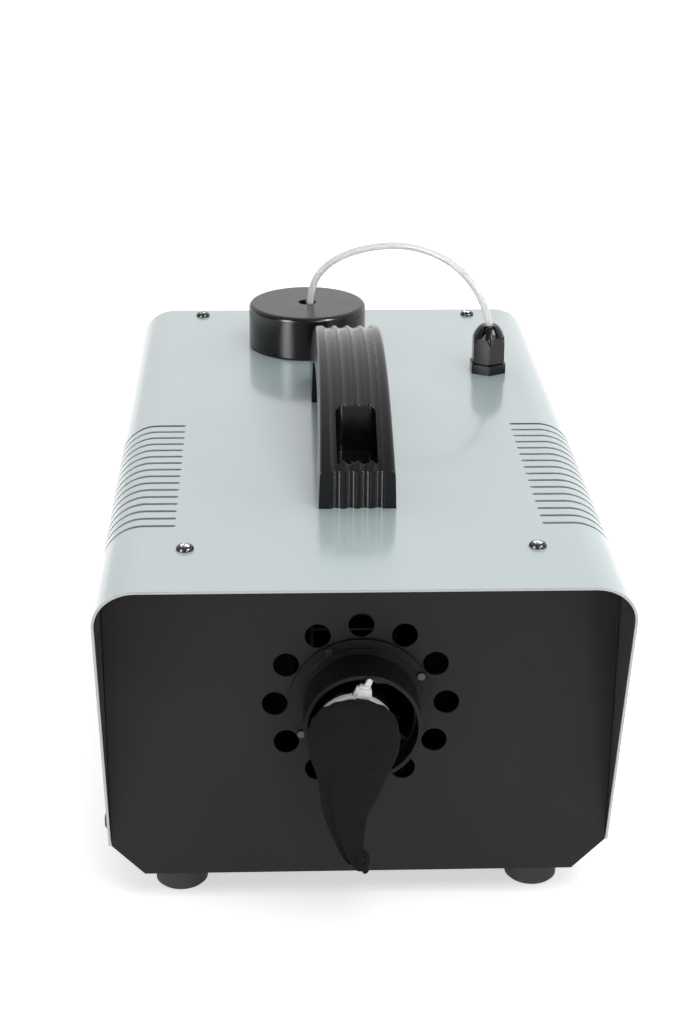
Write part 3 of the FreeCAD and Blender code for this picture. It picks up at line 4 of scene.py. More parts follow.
import bmesh
import bpy
from mathutils import Matrix, Vector, noise


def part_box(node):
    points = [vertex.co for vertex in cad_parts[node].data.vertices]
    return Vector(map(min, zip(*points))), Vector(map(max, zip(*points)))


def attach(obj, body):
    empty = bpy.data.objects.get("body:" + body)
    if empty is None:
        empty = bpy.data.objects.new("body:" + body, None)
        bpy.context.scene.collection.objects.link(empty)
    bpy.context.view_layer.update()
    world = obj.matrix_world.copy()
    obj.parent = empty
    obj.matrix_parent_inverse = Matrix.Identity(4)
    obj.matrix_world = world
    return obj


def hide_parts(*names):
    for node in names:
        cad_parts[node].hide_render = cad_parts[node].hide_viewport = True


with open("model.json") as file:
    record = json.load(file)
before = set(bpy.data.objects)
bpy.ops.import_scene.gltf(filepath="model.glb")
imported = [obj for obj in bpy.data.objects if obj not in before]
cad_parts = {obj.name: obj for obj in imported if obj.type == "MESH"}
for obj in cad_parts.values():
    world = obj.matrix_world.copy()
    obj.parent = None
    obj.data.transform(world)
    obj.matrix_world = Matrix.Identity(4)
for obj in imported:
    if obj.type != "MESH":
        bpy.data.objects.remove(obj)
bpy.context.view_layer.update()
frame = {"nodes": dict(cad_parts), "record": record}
MM = 0.001
nodes = frame["nodes"]

# ---- camera -------------------------------------------------------------------------------
CAMERA_PLACE = Vector((-41.22, -982.44, 543.22)) * MM
CAMERA_TURN = math.radians(-2.21)  # about +Z, from looking along +Y
CAMERA_DOWN = math.radians(22.56)
CAMERA_ROLL = math.radians(0.37)
CAMERA_LENS = 69.486


def make_camera():
    data = bpy.data.cameras.new("camera")
    data.lens = CAMERA_LENS
    data.clip_end = 50
    camera = bpy.data.objects.new("camera", data)
    bpy.context.scene.collection.objects.link(camera)
    turn = Matrix.Rotation(CAMERA_TURN, 4, "Z")
    tilt = Matrix.Rotation(math.pi / 2 - CAMERA_DOWN, 4, "X")
    roll = Matrix.Rotation(CAMERA_ROLL, 4, "Z")
    camera.matrix_world = Matrix.Translation(CAMERA_PLACE) @ turn @ tilt @ roll
    bpy.context.scene.camera = camera


make_camera()


# ---- mesh and curve helpers ---------------------------------------------------------------
def add(name, data, body):
    piece = bpy.data.objects.new(name, data)
    bpy.context.scene.collection.objects.link(piece)
    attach(piece, body)
    return piece


def mesh_from(name, build, smooth=True):
    mesh = bpy.data.meshes.new(name)
    bmesh.ops.recalc_face_normals(build, faces=build.faces)
    for face in build.faces:
        face.smooth = smooth
    build.to_mesh(mesh)
    build.free()
    return mesh


def ring_skin(build, rings, closed=True):
    """Join rings of places, each with as many points, into a skin of quads."""
    rows = [[build.verts.new(place) for place in ring] for ring in rings]
    count = len(rows[0])
    for first, second in zip(rows, rows[1:]):
        for i in range(count if closed else count - 1):
            j = (i + 1) % count
            build.faces.new((first[i], first[j], second[j], second[i]))
    return rows


def smoothstep(low, high, value):
    share = min(1.0, max(0.0, (value - low) / (high - low)))
    return share * share * (3 - 2 * share)


def islands(node):
    """The lowest and highest corners of each separate solid in a CAD node."""
    build = bmesh.new()
    build.from_mesh(nodes[node].data)
    bmesh.ops.remove_doubles(build, verts=build.verts, dist=0.01 * MM)
    waiting = set(build.verts)
    found = []
    while waiting:
        reach = [waiting.pop()]
        solid = []
        while reach:
            vert = reach.pop()
            solid.append(vert.co.copy())
            for edge in vert.link_edges:
                other = edge.other_vert(vert)
                if other in waiting:
                    waiting.remove(other)
                    reach.append(other)
        low = Vector([min(co[i] for co in solid) for i in range(3)])
        high = Vector([max(co[i] for co in solid) for i in range(3)])
        found.append((low, high))
    build.free()
    return found


def round_line(name, places, radius, sides, steps):
    """A solid round line on a NURBS spline with given control points."""
    curve = bpy.data.curves.new(name, "CURVE")
    curve.dimensions = "3D"
    curve.bevel_depth = 1  # times each point's radius
    curve.bevel_resolution = sides
    curve.resolution_u = steps
    curve.use_fill_caps = True
    spline = curve.splines.new("NURBS")
    spline.points.add(len(places) - 1)
    for point, place in zip(spline.points, places):
        point.co = (*place, 1)
        point.radius = radius
    spline.order_u = 3
    spline.use_endpoint_u = True
    return curve


# ---- the free hose ------------------------------------------------------------------------
HOSE_DIAMETER = 4 * MM
HOSE_POINTS_MM = [
    (-17.0, 140.6, 210.5),
    (-16.3, 140.2, 217.6),
    (-13.4, 138.9, 226.0),
    (-7.9, 136.4, 233.4),
    (-0.3, 132.9, 239.6),
    (9.2, 128.4, 244.6),
    (19.8, 123.2, 248.4),
    (31.6, 117.2, 250.9),
    (43.8, 110.7, 251.0),
    (55.1, 104.6, 248.4),
    (64.8, 99.0, 243.4),
    (72.6, 94.5, 236.2),
    (78.4, 91.2, 227.4),
    (81.8, 89.3, 219.2),
    (83.3, 88.5, 212.1),
]


def make_hose():
    places = [Vector(place) * MM for place in HOSE_POINTS_MM]
    curve = round_line("feed_hose_visible", places, HOSE_DIAMETER / 2, sides=8, steps=12)
    hose = add("feed_hose_visible", curve, "housing")
    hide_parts("feed_hose")
    return hose


hose = make_hose()

# ---- the snow sock ------------------------------------------------------------------------
# A knitted tube is tied round the nozzle, closes over its mouth and hangs down to a knotted
# loop. Each ring gives, in mm from the middle of the nozzle's mouth: how far forward and up
# its top and its bottom lie, its shift to the right and half its width.
SOCK_RINGS = [
    (-8.6, 18.2, -8.6, -18.2, 0.0, 18.2),
    (-7.3, 17.4, -7.3, -17.4, 0.0, 17.4),
    (-4.3, 17.3, -4.3, -17.3, 0.0, 17.3),
    (-2.0, 17.5, -2.0, -17.6, 0.0, 17.6),
    (-0.9, 18.0, -0.7, -19.2, -0.3, 19.9),
    (0.6, 18.4, 0.8, -20.2, -0.6, 20.9),
    (2.6, 18.2, 1.3, -21.0, -0.8, 21.0),
    (4.8, 15.8, 1.6, -22.2, -0.8, 20.5),
    (6.4, 10.5, 1.7, -24.2, -0.8, 19.4),
    (7.0, 3.0, 1.7, -26.6, -0.9, 17.8),
    (7.0, -6.0, 1.6, -29.4, -1.4, 16.0),
    (6.8, -15.0, 1.5, -33.5, -2.1, 14.2),
    (6.3, -23.0, 1.4, -38.0, -3.0, 13.0),
    (5.7, -31.0, 1.3, -43.0, -4.15, 10.8),
    (5.1, -38.5, 1.2, -48.0, -4.05, 9.2),
    (4.6, -46.0, 1.1, -53.0, -3.25, 7.9),
    (4.2, -53.0, 1.0, -58.0, -2.15, 6.2),
    (3.9, -59.0, 0.9, -62.4, -1.25, 5.0),
    (3.6, -63.2, 0.9, -65.4, -0.45, 4.0),
    (3.2, -66.2, 1.1, -67.6, 0.35, 2.6),
]
SOCK_GATHERS = [0.5, 0.25, 0.1, 0.25, 0.4, 0.4, 0.35, 0.25, 0.12]  # depth of the pleats, mm
SOCK_PLEATS = 19
SOCK_WANDER = 2.6  # radians, how far the pleats stray
SOCK_SLACK = 0.55  # mm, depth of the waves below the tie
SOCK_CREASE = 0.45  # mm, depth of the creases in the hanging part
SOCK_SHOULDER = 0.17  # how far the bulge is squared off above the middle
SOCK_BULGE_RINGS = (2.5, 4, 7, 10)  # where the bulge sets in and dies away
SOCK_SLACK_RINGS = (3, 7)
SOCK_HANG_RINGS = (8, 12)
# Each wave's scale across, up and from ring to ring, and where it starts.
WANDER_WAVE = ((1.7, 1.7, 0.21), (0, 0, 0))
SLACK_WAVE = ((2.3, 2.0, 0.33), (0, 7, 0))
CREASE_WAVE = ((5.5, 0, 0.12), (0, 3.1, 0))
SOCK_POINTS = 76  # round each ring
SOCK_CLOTH = 0.5 * MM
SOCK_PLY_DEPTH = 2.3  # mm, how far the left ply lies behind the front one
SOCK_PLY_EDGE = -0.5  # where that ply begins, as a share of the half width
SOCK_PLY_FADE = 0.12
KNOT_POINTS = [  # forward, up and right of the mouth's middle, mm
    (2.6, -61.0, -0.6),
    (3.4, -65.4, 0.0),
    (3.8, -67.6, 2.2),
    (3.6, -67.0, 5.0),
    (3.0, -63.6, 6.2),
    (2.4, -60.2, 5.0),
    (2.4, -59.6, 2.6),
    (3.4, -62.4, 1.4),
    (4.2, -65.2, 2.6),
    (4.0, -67.2, 4.4),
    (3.4, -69.2, 5.4),
]
KNOT_RADIUS = 1.6 * MM

nozzle_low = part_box("snow_nozzle")[0]
tie_low, tie_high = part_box("cable_tie")
tie_radius = (tie_high.x - tie_low.x) / 2
TIE_SHIFT = -0.35 * MM  # the tie sits a little off the nozzle's axis
mouth = Vector((tie_low.x + tie_radius + TIE_SHIFT, nozzle_low.y, tie_low.z + tie_radius))


def from_mouth(forward, up, right):
    return mouth + Vector((right, -forward, up)) * MM


def cloth_wave(wave, across, height, index):
    scale, start = wave
    spot = (across, height, index)
    return noise.noise(Vector([s * x + t for s, x, t in zip(scale, spot, start)]))


def sock_ring(index, values):
    top_forward, top_up, low_forward, low_up, shift, half = values
    top = from_mouth(top_forward, top_up, shift)
    low = from_mouth(low_forward, low_up, shift)
    centre = (top + low) / 2
    rise = (top - low) / 2
    gather = SOCK_GATHERS[index] if index < len(SOCK_GATHERS) else 0.0
    hanging = smoothstep(*SOCK_HANG_RINGS, index)
    bulging = smoothstep(*SOCK_BULGE_RINGS[:2], index) * (1 - smoothstep(*SOCK_BULGE_RINGS[2:], index))
    shoulder = 1 - SOCK_SHOULDER * bulging
    slack_depth = SOCK_SLACK * smoothstep(*SOCK_SLACK_RINGS, index)
    ring = []
    for i in range(SOCK_POINTS):
        angle = 2 * math.pi * i / SOCK_POINTS
        across = math.cos(angle)
        height = math.sin(angle)
        if height > 0:
            across = math.copysign(abs(across) ** shoulder, across)
            height = height**shoulder
        outward = (Vector((1, 0, 0)) * across + rise.normalized() * height).normalized()
        wander = SOCK_WANDER * cloth_wave(WANDER_WAVE, across, height, index)
        pleat = gather * math.cos(SOCK_PLEATS * angle + wander)
        slack = slack_depth * cloth_wave(SLACK_WAVE, across, height, index)
        place = centre + Vector((half * across * MM, 0, 0)) + rise * height
        place += outward * (pleat + slack) * MM
        if height > 0:
            in_front = smoothstep(SOCK_PLY_EDGE - SOCK_PLY_FADE, SOCK_PLY_EDGE, across)
            behind = SOCK_PLY_DEPTH * (1 - in_front)
            crease = SOCK_CREASE * cloth_wave(CREASE_WAVE, across, height, index)
            place.y += hanging * height * (behind - crease) * MM
        ring.append(place)
    return ring


def make_sock():
    build = bmesh.new()
    rings = [sock_ring(index, values) for index, values in enumerate(SOCK_RINGS)]
    rows = ring_skin(build, rings)
    build.faces.new(rows[-1])
    mesh = mesh_from("snow_sock_visible", build)
    sock = add("snow_sock_visible", mesh, "housing")
    wall = sock.modifiers.new("cloth", "SOLIDIFY")
    wall.thickness = SOCK_CLOTH
    wall.offset = -1
    smooth = sock.modifiers.new("smooth", "SUBSURF")
    smooth.levels = 2
    smooth.render_levels = 2
    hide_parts("snow_sock")
    return sock


def make_knot():
    places = [from_mouth(*place) for place in KNOT_POINTS]
    line = round_line("sock_knot_line", places, KNOT_RADIUS, sides=5, steps=8)
    return add("sock_knot", line, "housing")


sock = make_sock()
knot = make_knot()

# ---- the cable tie ------------------------------------------------------------------------
TIE_STRAP_R = 17.4  # the strap's inner face, mm
TIE_STRAP_THICK = 1.0
TIE_STRAP_WIDTH = 4.4
TIE_HEAD_AT = math.radians(79.5)  # the head's place round the strap, from the right
TIE_HEAD_SIZE = (9.4, 5.2, 6.8)  # across, along the nozzle, up
TIE_TAIL = [  # right and up of the head's middle, mm, with the tail's half width
    (1.0, 0.5, 1.5),
    (1.6, 2.6, 1.5),
    (2.2, 4.2, 1.4),
    (2.9, 5.6, 1.3),
    (3.3, 6.4, 0.8),
]
TIE_STEPS = 96  # round the strap
TIE_OPEN = math.radians(16)  # left out of the strap, under the head
TIE_STRAP_SOFT = 0.2  # mm, taken off the corners of the strap's section
TIE_SETBACK = 4.3  # mm, the strap's middle behind the nozzle's mouth
TIE_HEAD_LIFT = 2.9  # mm, the head's middle above the strap's inner face
TIE_HEAD_TAPER = Vector((0.66, 0.9, 1))  # the head's outer face, as a share of its inner one
TIE_HEAD_ROUND = 1.1 * MM
TIE_TAIL_HALF = 0.6  # half of the tail's thickness, mm
TIE_EDGE = 0.18 * MM  # rounding of every edge
tie_centre = mouth + Vector((0, TIE_SETBACK * MM, 0))
tie_head = tie_centre + Vector((math.cos(TIE_HEAD_AT), 0, math.sin(TIE_HEAD_AT))) * (
    (TIE_STRAP_R + TIE_HEAD_LIFT) * MM
)


def strap_ring(angle):
    way = Vector((math.cos(angle), 0, math.sin(angle)))
    along = Vector((0, 1, 0))
    soft = TIE_STRAP_SOFT
    half = TIE_STRAP_WIDTH / 2
    inner = TIE_STRAP_R
    outer = inner + TIE_STRAP_THICK
    corners = [
        (inner, -half + soft),
        (inner, half - soft),
        (inner + soft, half),
        (outer - soft, half),
        (outer, half - soft),
        (outer, -half + soft),
        (outer - soft, -half),
        (inner + soft, -half),
    ]
    return [tie_centre + (way * r + along * a) * MM for r, a in corners]


def add_strap(build):
    start = TIE_HEAD_AT + TIE_OPEN / 2
    sweep = 2 * math.pi - TIE_OPEN
    ring_skin(build, [strap_ring(start + i / TIE_STEPS * sweep) for i in range(TIE_STEPS + 1)])


def add_tie_head(build):
    size = Matrix.Diagonal((*(Vector(TIE_HEAD_SIZE) * MM), 1))
    turn = Matrix.Rotation(math.pi / 2 - TIE_HEAD_AT, 4, "Y")
    place = Matrix.Translation(tie_head) @ turn @ size
    verts = bmesh.ops.create_cube(build, size=1.0, matrix=place)["verts"]
    for vert in verts:
        local = turn.inverted() @ (vert.co - tie_head)
        if local.z > 0:
            vert.co = tie_head + turn @ (local * TIE_HEAD_TAPER)
    edges = {edge for vert in verts for edge in vert.link_edges}
    bmesh.ops.bevel(build, geom=list(edges), offset=TIE_HEAD_ROUND, segments=4, affect="EDGES")


def add_tail(build):
    rings = []
    for i, (right, up, half) in enumerate(TIE_TAIL):
        before = TIE_TAIL[max(0, i - 1)]
        after = TIE_TAIL[min(len(TIE_TAIL) - 1, i + 1)]
        way = Vector((after[0] - before[0], 0, after[1] - before[1])).normalized()
        side = Vector((way.z, 0, -way.x))
        middle = tie_head + Vector((right, 0, up)) * MM
        thick = TIE_TAIL_HALF
        corners = [(-half, -thick), (half, -thick), (half, thick), (-half, thick)]
        rings.append([middle + (side * a + Vector((0, b, 0))) * MM for a, b in corners])
    rows = ring_skin(build, rings)
    build.faces.new(rows[0])
    build.faces.new(rows[-1])


def make_tie():
    build = bmesh.new()
    add_strap(build)
    add_tie_head(build)
    add_tail(build)
    tie = add("cable_tie_visible", mesh_from("cable_tie_visible", build), "housing")
    soften = tie.modifiers.new("soften", "BEVEL")
    soften.width = TIE_EDGE
    soften.segments = 2
    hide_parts("cable_tie")
    return tie


tie = make_tie()

# ---- crosshead screws ---------------------------------------------------------------------
SCREW_STEPS = 48
SCREW_RINGS = 16
HEAD_HEIGHT = 2.2 * MM
HEAD_SINK = 0.02  # how far the rim goes below its seat, as a share of the head's height
SAME_SIZE = 0.2 * MM
SIDE_SHARE = 0.9  # a screw further out than this share of the half width is on a side
FIRST_SPIN = 0.4  # how the crosses are turned, in radians
NEXT_SPIN = 0.77
RECESS_REACH = 0.58  # half the length of the cross, as a share of the head's radius
RECESS_WIDTH = 0.14
RECESS_DEPTH = 0.62  # as a share of the head's height
RECESS_END = 0.72  # where its end starts to slope, as a share of its reach
RECESS_FLANKS = (0.7, 1.5)  # where its sides start and stop sloping, as shares of its width
WEAR_AND_HIGHLIGHT_REACH = 0.95  # pale metal shows to this share of its reach: wear in the cross, with a painted highlight
# Each point's share of the head's radius and of its height.
HEAD_PROFILE = [(0.0, 1.0), (0.35, 0.985), (0.6, 0.93), (0.8, 0.8), (0.93, 0.56), (1.0, 0.22)]


def head_height(share):
    for (r1, h1), (r2, h2) in zip(HEAD_PROFILE, HEAD_PROFILE[1:]):
        if share <= r2:
            return h1 + (h2 - h1) * (share - r1) / (r2 - r1)
    return HEAD_PROFILE[-1][1]


def recess_share(x, y):
    """1 inside the cross, 0 outside, with sloping sides."""
    shares = []
    for a, b in ((abs(x), abs(y)), (abs(y), abs(x))):
        along = 1 - smoothstep(RECESS_REACH * RECESS_END, RECESS_REACH, a)
        beside = 1 - smoothstep(*[RECESS_WIDTH * flank for flank in RECESS_FLANKS], b)
        shares.append(along * beside)
    return max(shares)


def add_screw_head(build, top, axis, radius, spin):
    turn = axis.to_track_quat("Z", "X").to_matrix().to_4x4() @ Matrix.Rotation(spin, 4, "Z")
    base = top - axis * HEAD_HEIGHT

    def vert(x, y, up):
        return build.verts.new(base + turn @ Vector((x * radius, y * radius, up * HEAD_HEIGHT)))

    around = [2 * math.pi * i / SCREW_STEPS for i in range(SCREW_STEPS)]
    rows = []
    for j in range(1, SCREW_RINGS + 1):
        share = j / SCREW_RINGS
        row = []
        for angle in around:
            x = share * math.cos(angle)
            y = share * math.sin(angle)
            row.append(vert(x, y, head_height(share) - RECESS_DEPTH * recess_share(x, y)))
        rows.append((share, row))
    foot = [vert(math.cos(angle), math.sin(angle), -HEAD_SINK) for angle in around]
    rows.append((1.0, foot))
    hub = vert(0, 0, 1 - RECESS_DEPTH)
    first = rows[0][1]
    # the middle of each head takes the second, pale material: wear with a painted highlight
    for i in range(SCREW_STEPS):
        face = build.faces.new((hub, first[i], first[(i + 1) % SCREW_STEPS]))
        face.material_index = 1
    for (share, inner), (_, outer) in zip(rows, rows[1:]):
        for i in range(SCREW_STEPS):
            k = (i + 1) % SCREW_STEPS
            face = build.faces.new((inner[i], outer[i], outer[k], inner[k]))
            face.material_index = 1 if share < RECESS_REACH * WEAR_AND_HIGHLIGHT_REACH else 0
    build.faces.new(foot)


def screw_heads(node):
    """The top, axis and radius of each screw's head."""
    case_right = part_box("top_cover")[1].x
    found = []
    for low, high in islands(node):
        size = high - low
        centre = (low + high) / 2
        if abs(size.y - size.z) < SAME_SIZE and abs(centre.x) > SIDE_SHARE * case_right:
            axis = Vector((math.copysign(1, centre.x), 0, 0))
            tip = high.x if centre.x > 0 else low.x
            found.append((Vector((tip, centre.y, centre.z)), axis, size.y / 2))
        else:
            top = Vector((centre.x, centre.y, high.z))
            found.append((top, Vector((0, 0, 1)), size.x / 2))
    return found


def make_cover_screws():
    build = bmesh.new()
    for number, (top, axis, radius) in enumerate(screw_heads("cover_screws")):
        add_screw_head(build, top, axis, radius, FIRST_SPIN + NEXT_SPIN * number)
    mesh = mesh_from("cover_screws_visible", build)
    screws = add("cover_screws_visible", mesh, "housing")
    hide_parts("cover_screws")
    return screws


cover_screws = make_cover_screws()

# ---- materials ----------------------------------------------------------------------------
def node_of(tree, kind, **values):
    node = tree.nodes.new(kind)
    for key, value in values.items():
        if key in node.inputs:
            node.inputs[key].default_value = value
        else:
            setattr(node, key, value)
    return node


class Material:
    """A Principled material with helpers for procedural colour, roughness and bump."""

    def __init__(self, name, color, rough, metallic=0.0, **sockets):
        self.material = bpy.data.materials.new(name)
        self.material.use_nodes = True
        self.tree = self.material.node_tree
        self.shader = self.tree.nodes["Principled BSDF"]
        self.color = color
        self.shader.inputs["Base Color"].default_value = (*color, 1)
        self.shader.inputs["Roughness"].default_value = rough
        self.shader.inputs["Metallic"].default_value = metallic
        for key, value in sockets.items():
            self.shader.inputs[key.replace("_", " ")].default_value = value
        where = self.tree.nodes.new("ShaderNodeTexCoord")
        self.place = where.outputs["Object"]
        self.facing = where.outputs["Normal"]
        self.normal = None

    def link(self, a, b):
        self.tree.links.new(a, b)

    def noise(self, size_mm, detail=4.0, rough=0.55, stretch=None):
        place = self.place
        if stretch:
            mapping = node_of(self.tree, "ShaderNodeMapping")
            mapping.inputs["Scale"].default_value = stretch
            self.link(place, mapping.inputs["Vector"])
            place = mapping.outputs["Vector"]
        noise_node = node_of(
            self.tree, "ShaderNodeTexNoise", Scale=1000.0 / size_mm, Detail=detail, Roughness=rough
        )
        self.link(place, noise_node.inputs["Vector"])
        return noise_node.outputs["Fac"]

    def range(self, value, low, high, start=0.2, end=0.8):
        node = node_of(self.tree, "ShaderNodeMapRange")
        node.inputs["From Min"].default_value = start
        node.inputs["From Max"].default_value = end
        node.inputs["To Min"].default_value = low
        node.inputs["To Max"].default_value = high
        self.link(value, node.inputs["Value"])
        return node.outputs["Result"]

    def vector(self, operation, first, second):
        node = node_of(self.tree, "ShaderNodeVectorMath", operation=operation)
        for socket, value in zip(node.inputs, (first, second)):
            if isinstance(value, bpy.types.NodeSocket):
                self.link(value, socket)
            else:
                socket.default_value = value
        return node.outputs["Value" if operation == "DOT_PRODUCT" else "Vector"]

    def mix(self, value, first, second):
        node = self.tree.nodes.new("ShaderNodeMix")
        node.data_type = "RGBA"
        self.link(value, node.inputs["Factor"])
        for socket, color in zip((node.inputs[6], node.inputs[7]), (first, second)):
            if isinstance(color, bpy.types.NodeSocket):
                self.link(color, socket)
            else:
                socket.default_value = (*color, 1)
        return node.outputs[2]

    def varied(self, size_mm, amount, **noise_values):
        low = [c * (1 - amount) for c in self.color]
        high = [min(1.0, c * (1 + amount)) for c in self.color]
        return self.mix(self.range(self.noise(size_mm, **noise_values), 0, 1), low, high)

    def color_variation(self, size_mm, amount, **noise_values):
        self.link(self.varied(size_mm, amount, **noise_values), self.shader.inputs["Base Color"])
        return self

    def rough_variation(self, size_mm, low, high, **noise_values):
        value = self.range(self.noise(size_mm, **noise_values), low, high)
        self.link(value, self.shader.inputs["Roughness"])
        return self

    def soften(self, radius_mm):
        """Round the look of hard edges."""
        node = node_of(self.tree, "ShaderNodeBevel", samples=4, Radius=radius_mm * MM)
        self.normal = node.outputs["Normal"]
        self.link(self.normal, self.shader.inputs["Normal"])
        return self

    def bump(self, height, depth_mm, strength=1.0):
        node = node_of(self.tree, "ShaderNodeBump", Strength=strength, Distance=depth_mm * MM)
        self.link(height, node.inputs["Height"])
        if self.normal:
            self.link(self.normal, node.inputs["Normal"])
        self.normal = node.outputs["Normal"]
        self.link(self.normal, self.shader.inputs["Normal"])
        return self


PAINT = (0.437, 0.520, 0.535)
# painted shade: the cover's inside is drawn dark where it lies in shadow
INSIDE_PAINTED_SHADE = (0.075, 0.082, 0.085)
# painted light: the tone of the cover's front edge where it catches the light
FRONT_EDGE_PAINTED_LIGHT = (0.45, 0.475, 0.475)
EDGE_DEPTH = 0.9 * MM
EDGE_FADE = 0.8
SHELL_FADE = 1 * MM  # between the painted shade on the cover's inside and its outside

cover_low, cover_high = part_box("top_cover")
panel_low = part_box("front_panel")[0]


def front_plane():
    """The slanted plane of the cover's front edge: its outward normal and offset."""
    run_y = panel_low.y - cover_low.y
    run_z = cover_high.z - cover_low.z
    normal = Vector((0, -run_z, -run_y)).normalized()
    corner = Vector((0, cover_low.y, cover_high.z))
    return normal, normal.dot(corner)


def grey_paint():
    m = Material("grey_paint", PAINT, 0.3, Coat_Weight=1.0, Coat_Roughness=0.11)
    outside = m.varied(60, 0.02, detail=3.0)
    centre = (cover_low + cover_high) / 2
    from_centre = m.vector("SUBTRACT", m.place, centre)
    turned_out = m.vector("DOT_PRODUCT", from_centre, m.facing)
    # faces turned inwards get the dark painted shade instead of the grey paint
    shaded_shell = m.mix(m.range(turned_out, 0, 1, -SHELL_FADE, SHELL_FADE), INSIDE_PAINTED_SHADE, outside)
    normal, offset = front_plane()
    ahead = m.vector("DOT_PRODUCT", m.place, normal)
    # a band of painted light along the cover's slanted front edge
    edge_light_mask = m.range(ahead, 0, 1, offset - EDGE_DEPTH, offset - EDGE_DEPTH * EDGE_FADE)
    m.link(m.mix(edge_light_mask, shaded_shell, FRONT_EDGE_PAINTED_LIGHT), m.shader.inputs["Base Color"])
    m.rough_variation(25, 0.27, 0.35)
    m.soften(0.5)
    return m.material


def black_steel():
    m = Material("black_steel", (0.0115, 0.0113, 0.0128), 0.5, Specular_IOR_Level=0.21)
    m.color_variation(40, 0.12)
    m.rough_variation(18, 0.46, 0.56)
    m.soften(0.4)
    m.bump(m.noise(0.7, detail=3.0), 0.03, 0.45)
    return m.material


def moulded(name, color, rough, grain_mm=0.6, depth_mm=0.01, spread=0.05, level=0.5, edge=0.3):
    m = Material(name, color, rough, Specular_IOR_Level=level)
    m.color_variation(30, 0.12)
    m.rough_variation(12, max(0.05, rough - spread), rough + spread)
    m.soften(edge)
    m.bump(m.noise(grain_mm, detail=2.0), depth_mm, 0.5)
    return m.material


def metal(name, color, rough, stretch=None, size_mm=1.2):
    m = Material(name, color, rough, metallic=1.0)
    m.color_variation(6, 0.08)
    m.rough_variation(size_mm, rough * 0.8, rough * 1.3, stretch=stretch)
    m.bump(m.noise(size_mm, stretch=stretch), 0.004, 0.4)
    return m.material


def clear_hose_material():
    m = Material("clear_hose", (0.97, 0.98, 0.975), 0.2, Transmission_Weight=0.35, IOR=1.41)
    m.rough_variation(8, 0.12, 0.22)
    m.bump(m.noise(4, detail=1.0), 0.02, 0.3)
    return m.material


def sock_cloth_material():
    m = Material(
        "sock_cloth",
        (0.0055, 0.0055, 0.0060),
        0.95,
        Specular_IOR_Level=0.12,
        Sheen_Weight=0.02,
        Sheen_Roughness=0.5,
    )
    m.color_variation(4, 0.3)
    m.bump(m.noise(0.7, detail=2.0, stretch=(1.0, 1.0, 0.45)), 0.15, 0.7)
    m.bump(m.noise(2.6, detail=2.0), 0.25, 0.35)
    return m.material


MATERIALS = {
    "grey_paint": grey_paint(),
    "black_steel": black_steel(),
    "outlet_plastic": moulded("outlet_plastic", (0.006, 0.006, 0.0063), 0.42, level=0.2),
    "handle_plastic": moulded(
        "handle_plastic", (0.0045, 0.0045, 0.0052), 0.2, grain_mm=1.5, level=0.42, edge=0.5
    ),
    "cap_plastic": moulded(
        "cap_plastic", (0.006, 0.006, 0.0065), 0.22, grain_mm=1.2, level=0.45, edge=0.6
    ),
    "gland_plastic": moulded("gland_plastic", (0.0055, 0.0055, 0.006), 0.19, level=0.4, edge=0.4),
    "foot_rubber": moulded("foot_rubber", (0.023, 0.023, 0.025), 0.75, depth_mm=0.03),
    "seal_rubber": moulded("seal_rubber", (0.02, 0.02, 0.02), 0.7),
    "sock_cloth": sock_cloth_material(),
    "tie_nylon": moulded("tie_nylon", (0.66, 0.68, 0.67), 0.35),
    "clear_hose": clear_hose_material(),
    "black_screw": metal("black_screw", (0.075, 0.075, 0.08), 0.26),
    "zinc_screw": metal("zinc_screw", (0.60, 0.61, 0.62), 0.3),
    "zinc_sheet": metal("zinc_sheet", (0.62, 0.63, 0.65), 0.34, stretch=(1.0, 12.0, 1.0)),
    # darker than the plastic itself: painted shade for the shaded inside of the plenum
    "duct_plastic": moulded("duct_plastic", (0.0035, 0.0035, 0.004), 0.6, level=0.15),
    "fan_plastic": moulded("fan_plastic", (0.06, 0.06, 0.065), 0.45),
    "nylon": moulded("nylon", (0.80, 0.80, 0.77), 0.4),
    "liner_foam": moulded("liner_foam", (0.75, 0.75, 0.72), 0.85, depth_mm=0.05),
    "tank_plastic": moulded("tank_plastic", (0.80, 0.81, 0.79), 0.4),
    "pump_plastic": moulded("pump_plastic", (0.08, 0.08, 0.09), 0.45),
    "coil_plastic": moulded("coil_plastic", (0.03, 0.03, 0.035), 0.5),
    "socket_plastic": moulded("socket_plastic", (0.018, 0.018, 0.020), 0.4),
    "rocker_plastic": moulded("rocker_plastic", (0.40, 0.012, 0.012), 0.25),
    "relay_plastic": moulded("relay_plastic", (0.03, 0.08, 0.30), 0.35),
    "terminal_plastic": moulded("terminal_plastic", (0.03, 0.25, 0.10), 0.4),
    "circuit_board": moulded("circuit_board", (0.015, 0.13, 0.05), 0.3),
    "brass": metal("brass", (0.70, 0.53, 0.25), 0.28),
    "bearing_steel": metal("bearing_steel", (0.66, 0.67, 0.69), 0.22),
    "motor_steel": moulded("motor_steel", (0.15, 0.155, 0.16), 0.35),
    "cast_alloy": metal("cast_alloy", (0.60, 0.61, 0.62), 0.42),
    "core_steel": metal("core_steel", (0.30, 0.31, 0.33), 0.4),
}
# pale metal for the screws' cross recesses: partly wear, partly a painted highlight
WEAR_AND_HIGHLIGHT_STEEL = metal("wear_and_highlight_steel", (0.52, 0.53, 0.54), 0.28)

for part in frame["record"]["subparts"]:
    slots = nodes[part["node"]].data.materials
    slots.clear()
    slots.append(MATERIALS[part["material_slot"]])
PIECES = (
    (hose, "clear_hose"),
    (sock, "sock_cloth"),
    (knot, "sock_cloth"),
    (tie, "tie_nylon"),
    (cover_screws, "black_screw"),
)
for piece, slot in PIECES:
    piece.data.materials.append(MATERIALS[slot])
cover_screws.data.materials.append(WEAR_AND_HIGHLIGHT_STEEL)

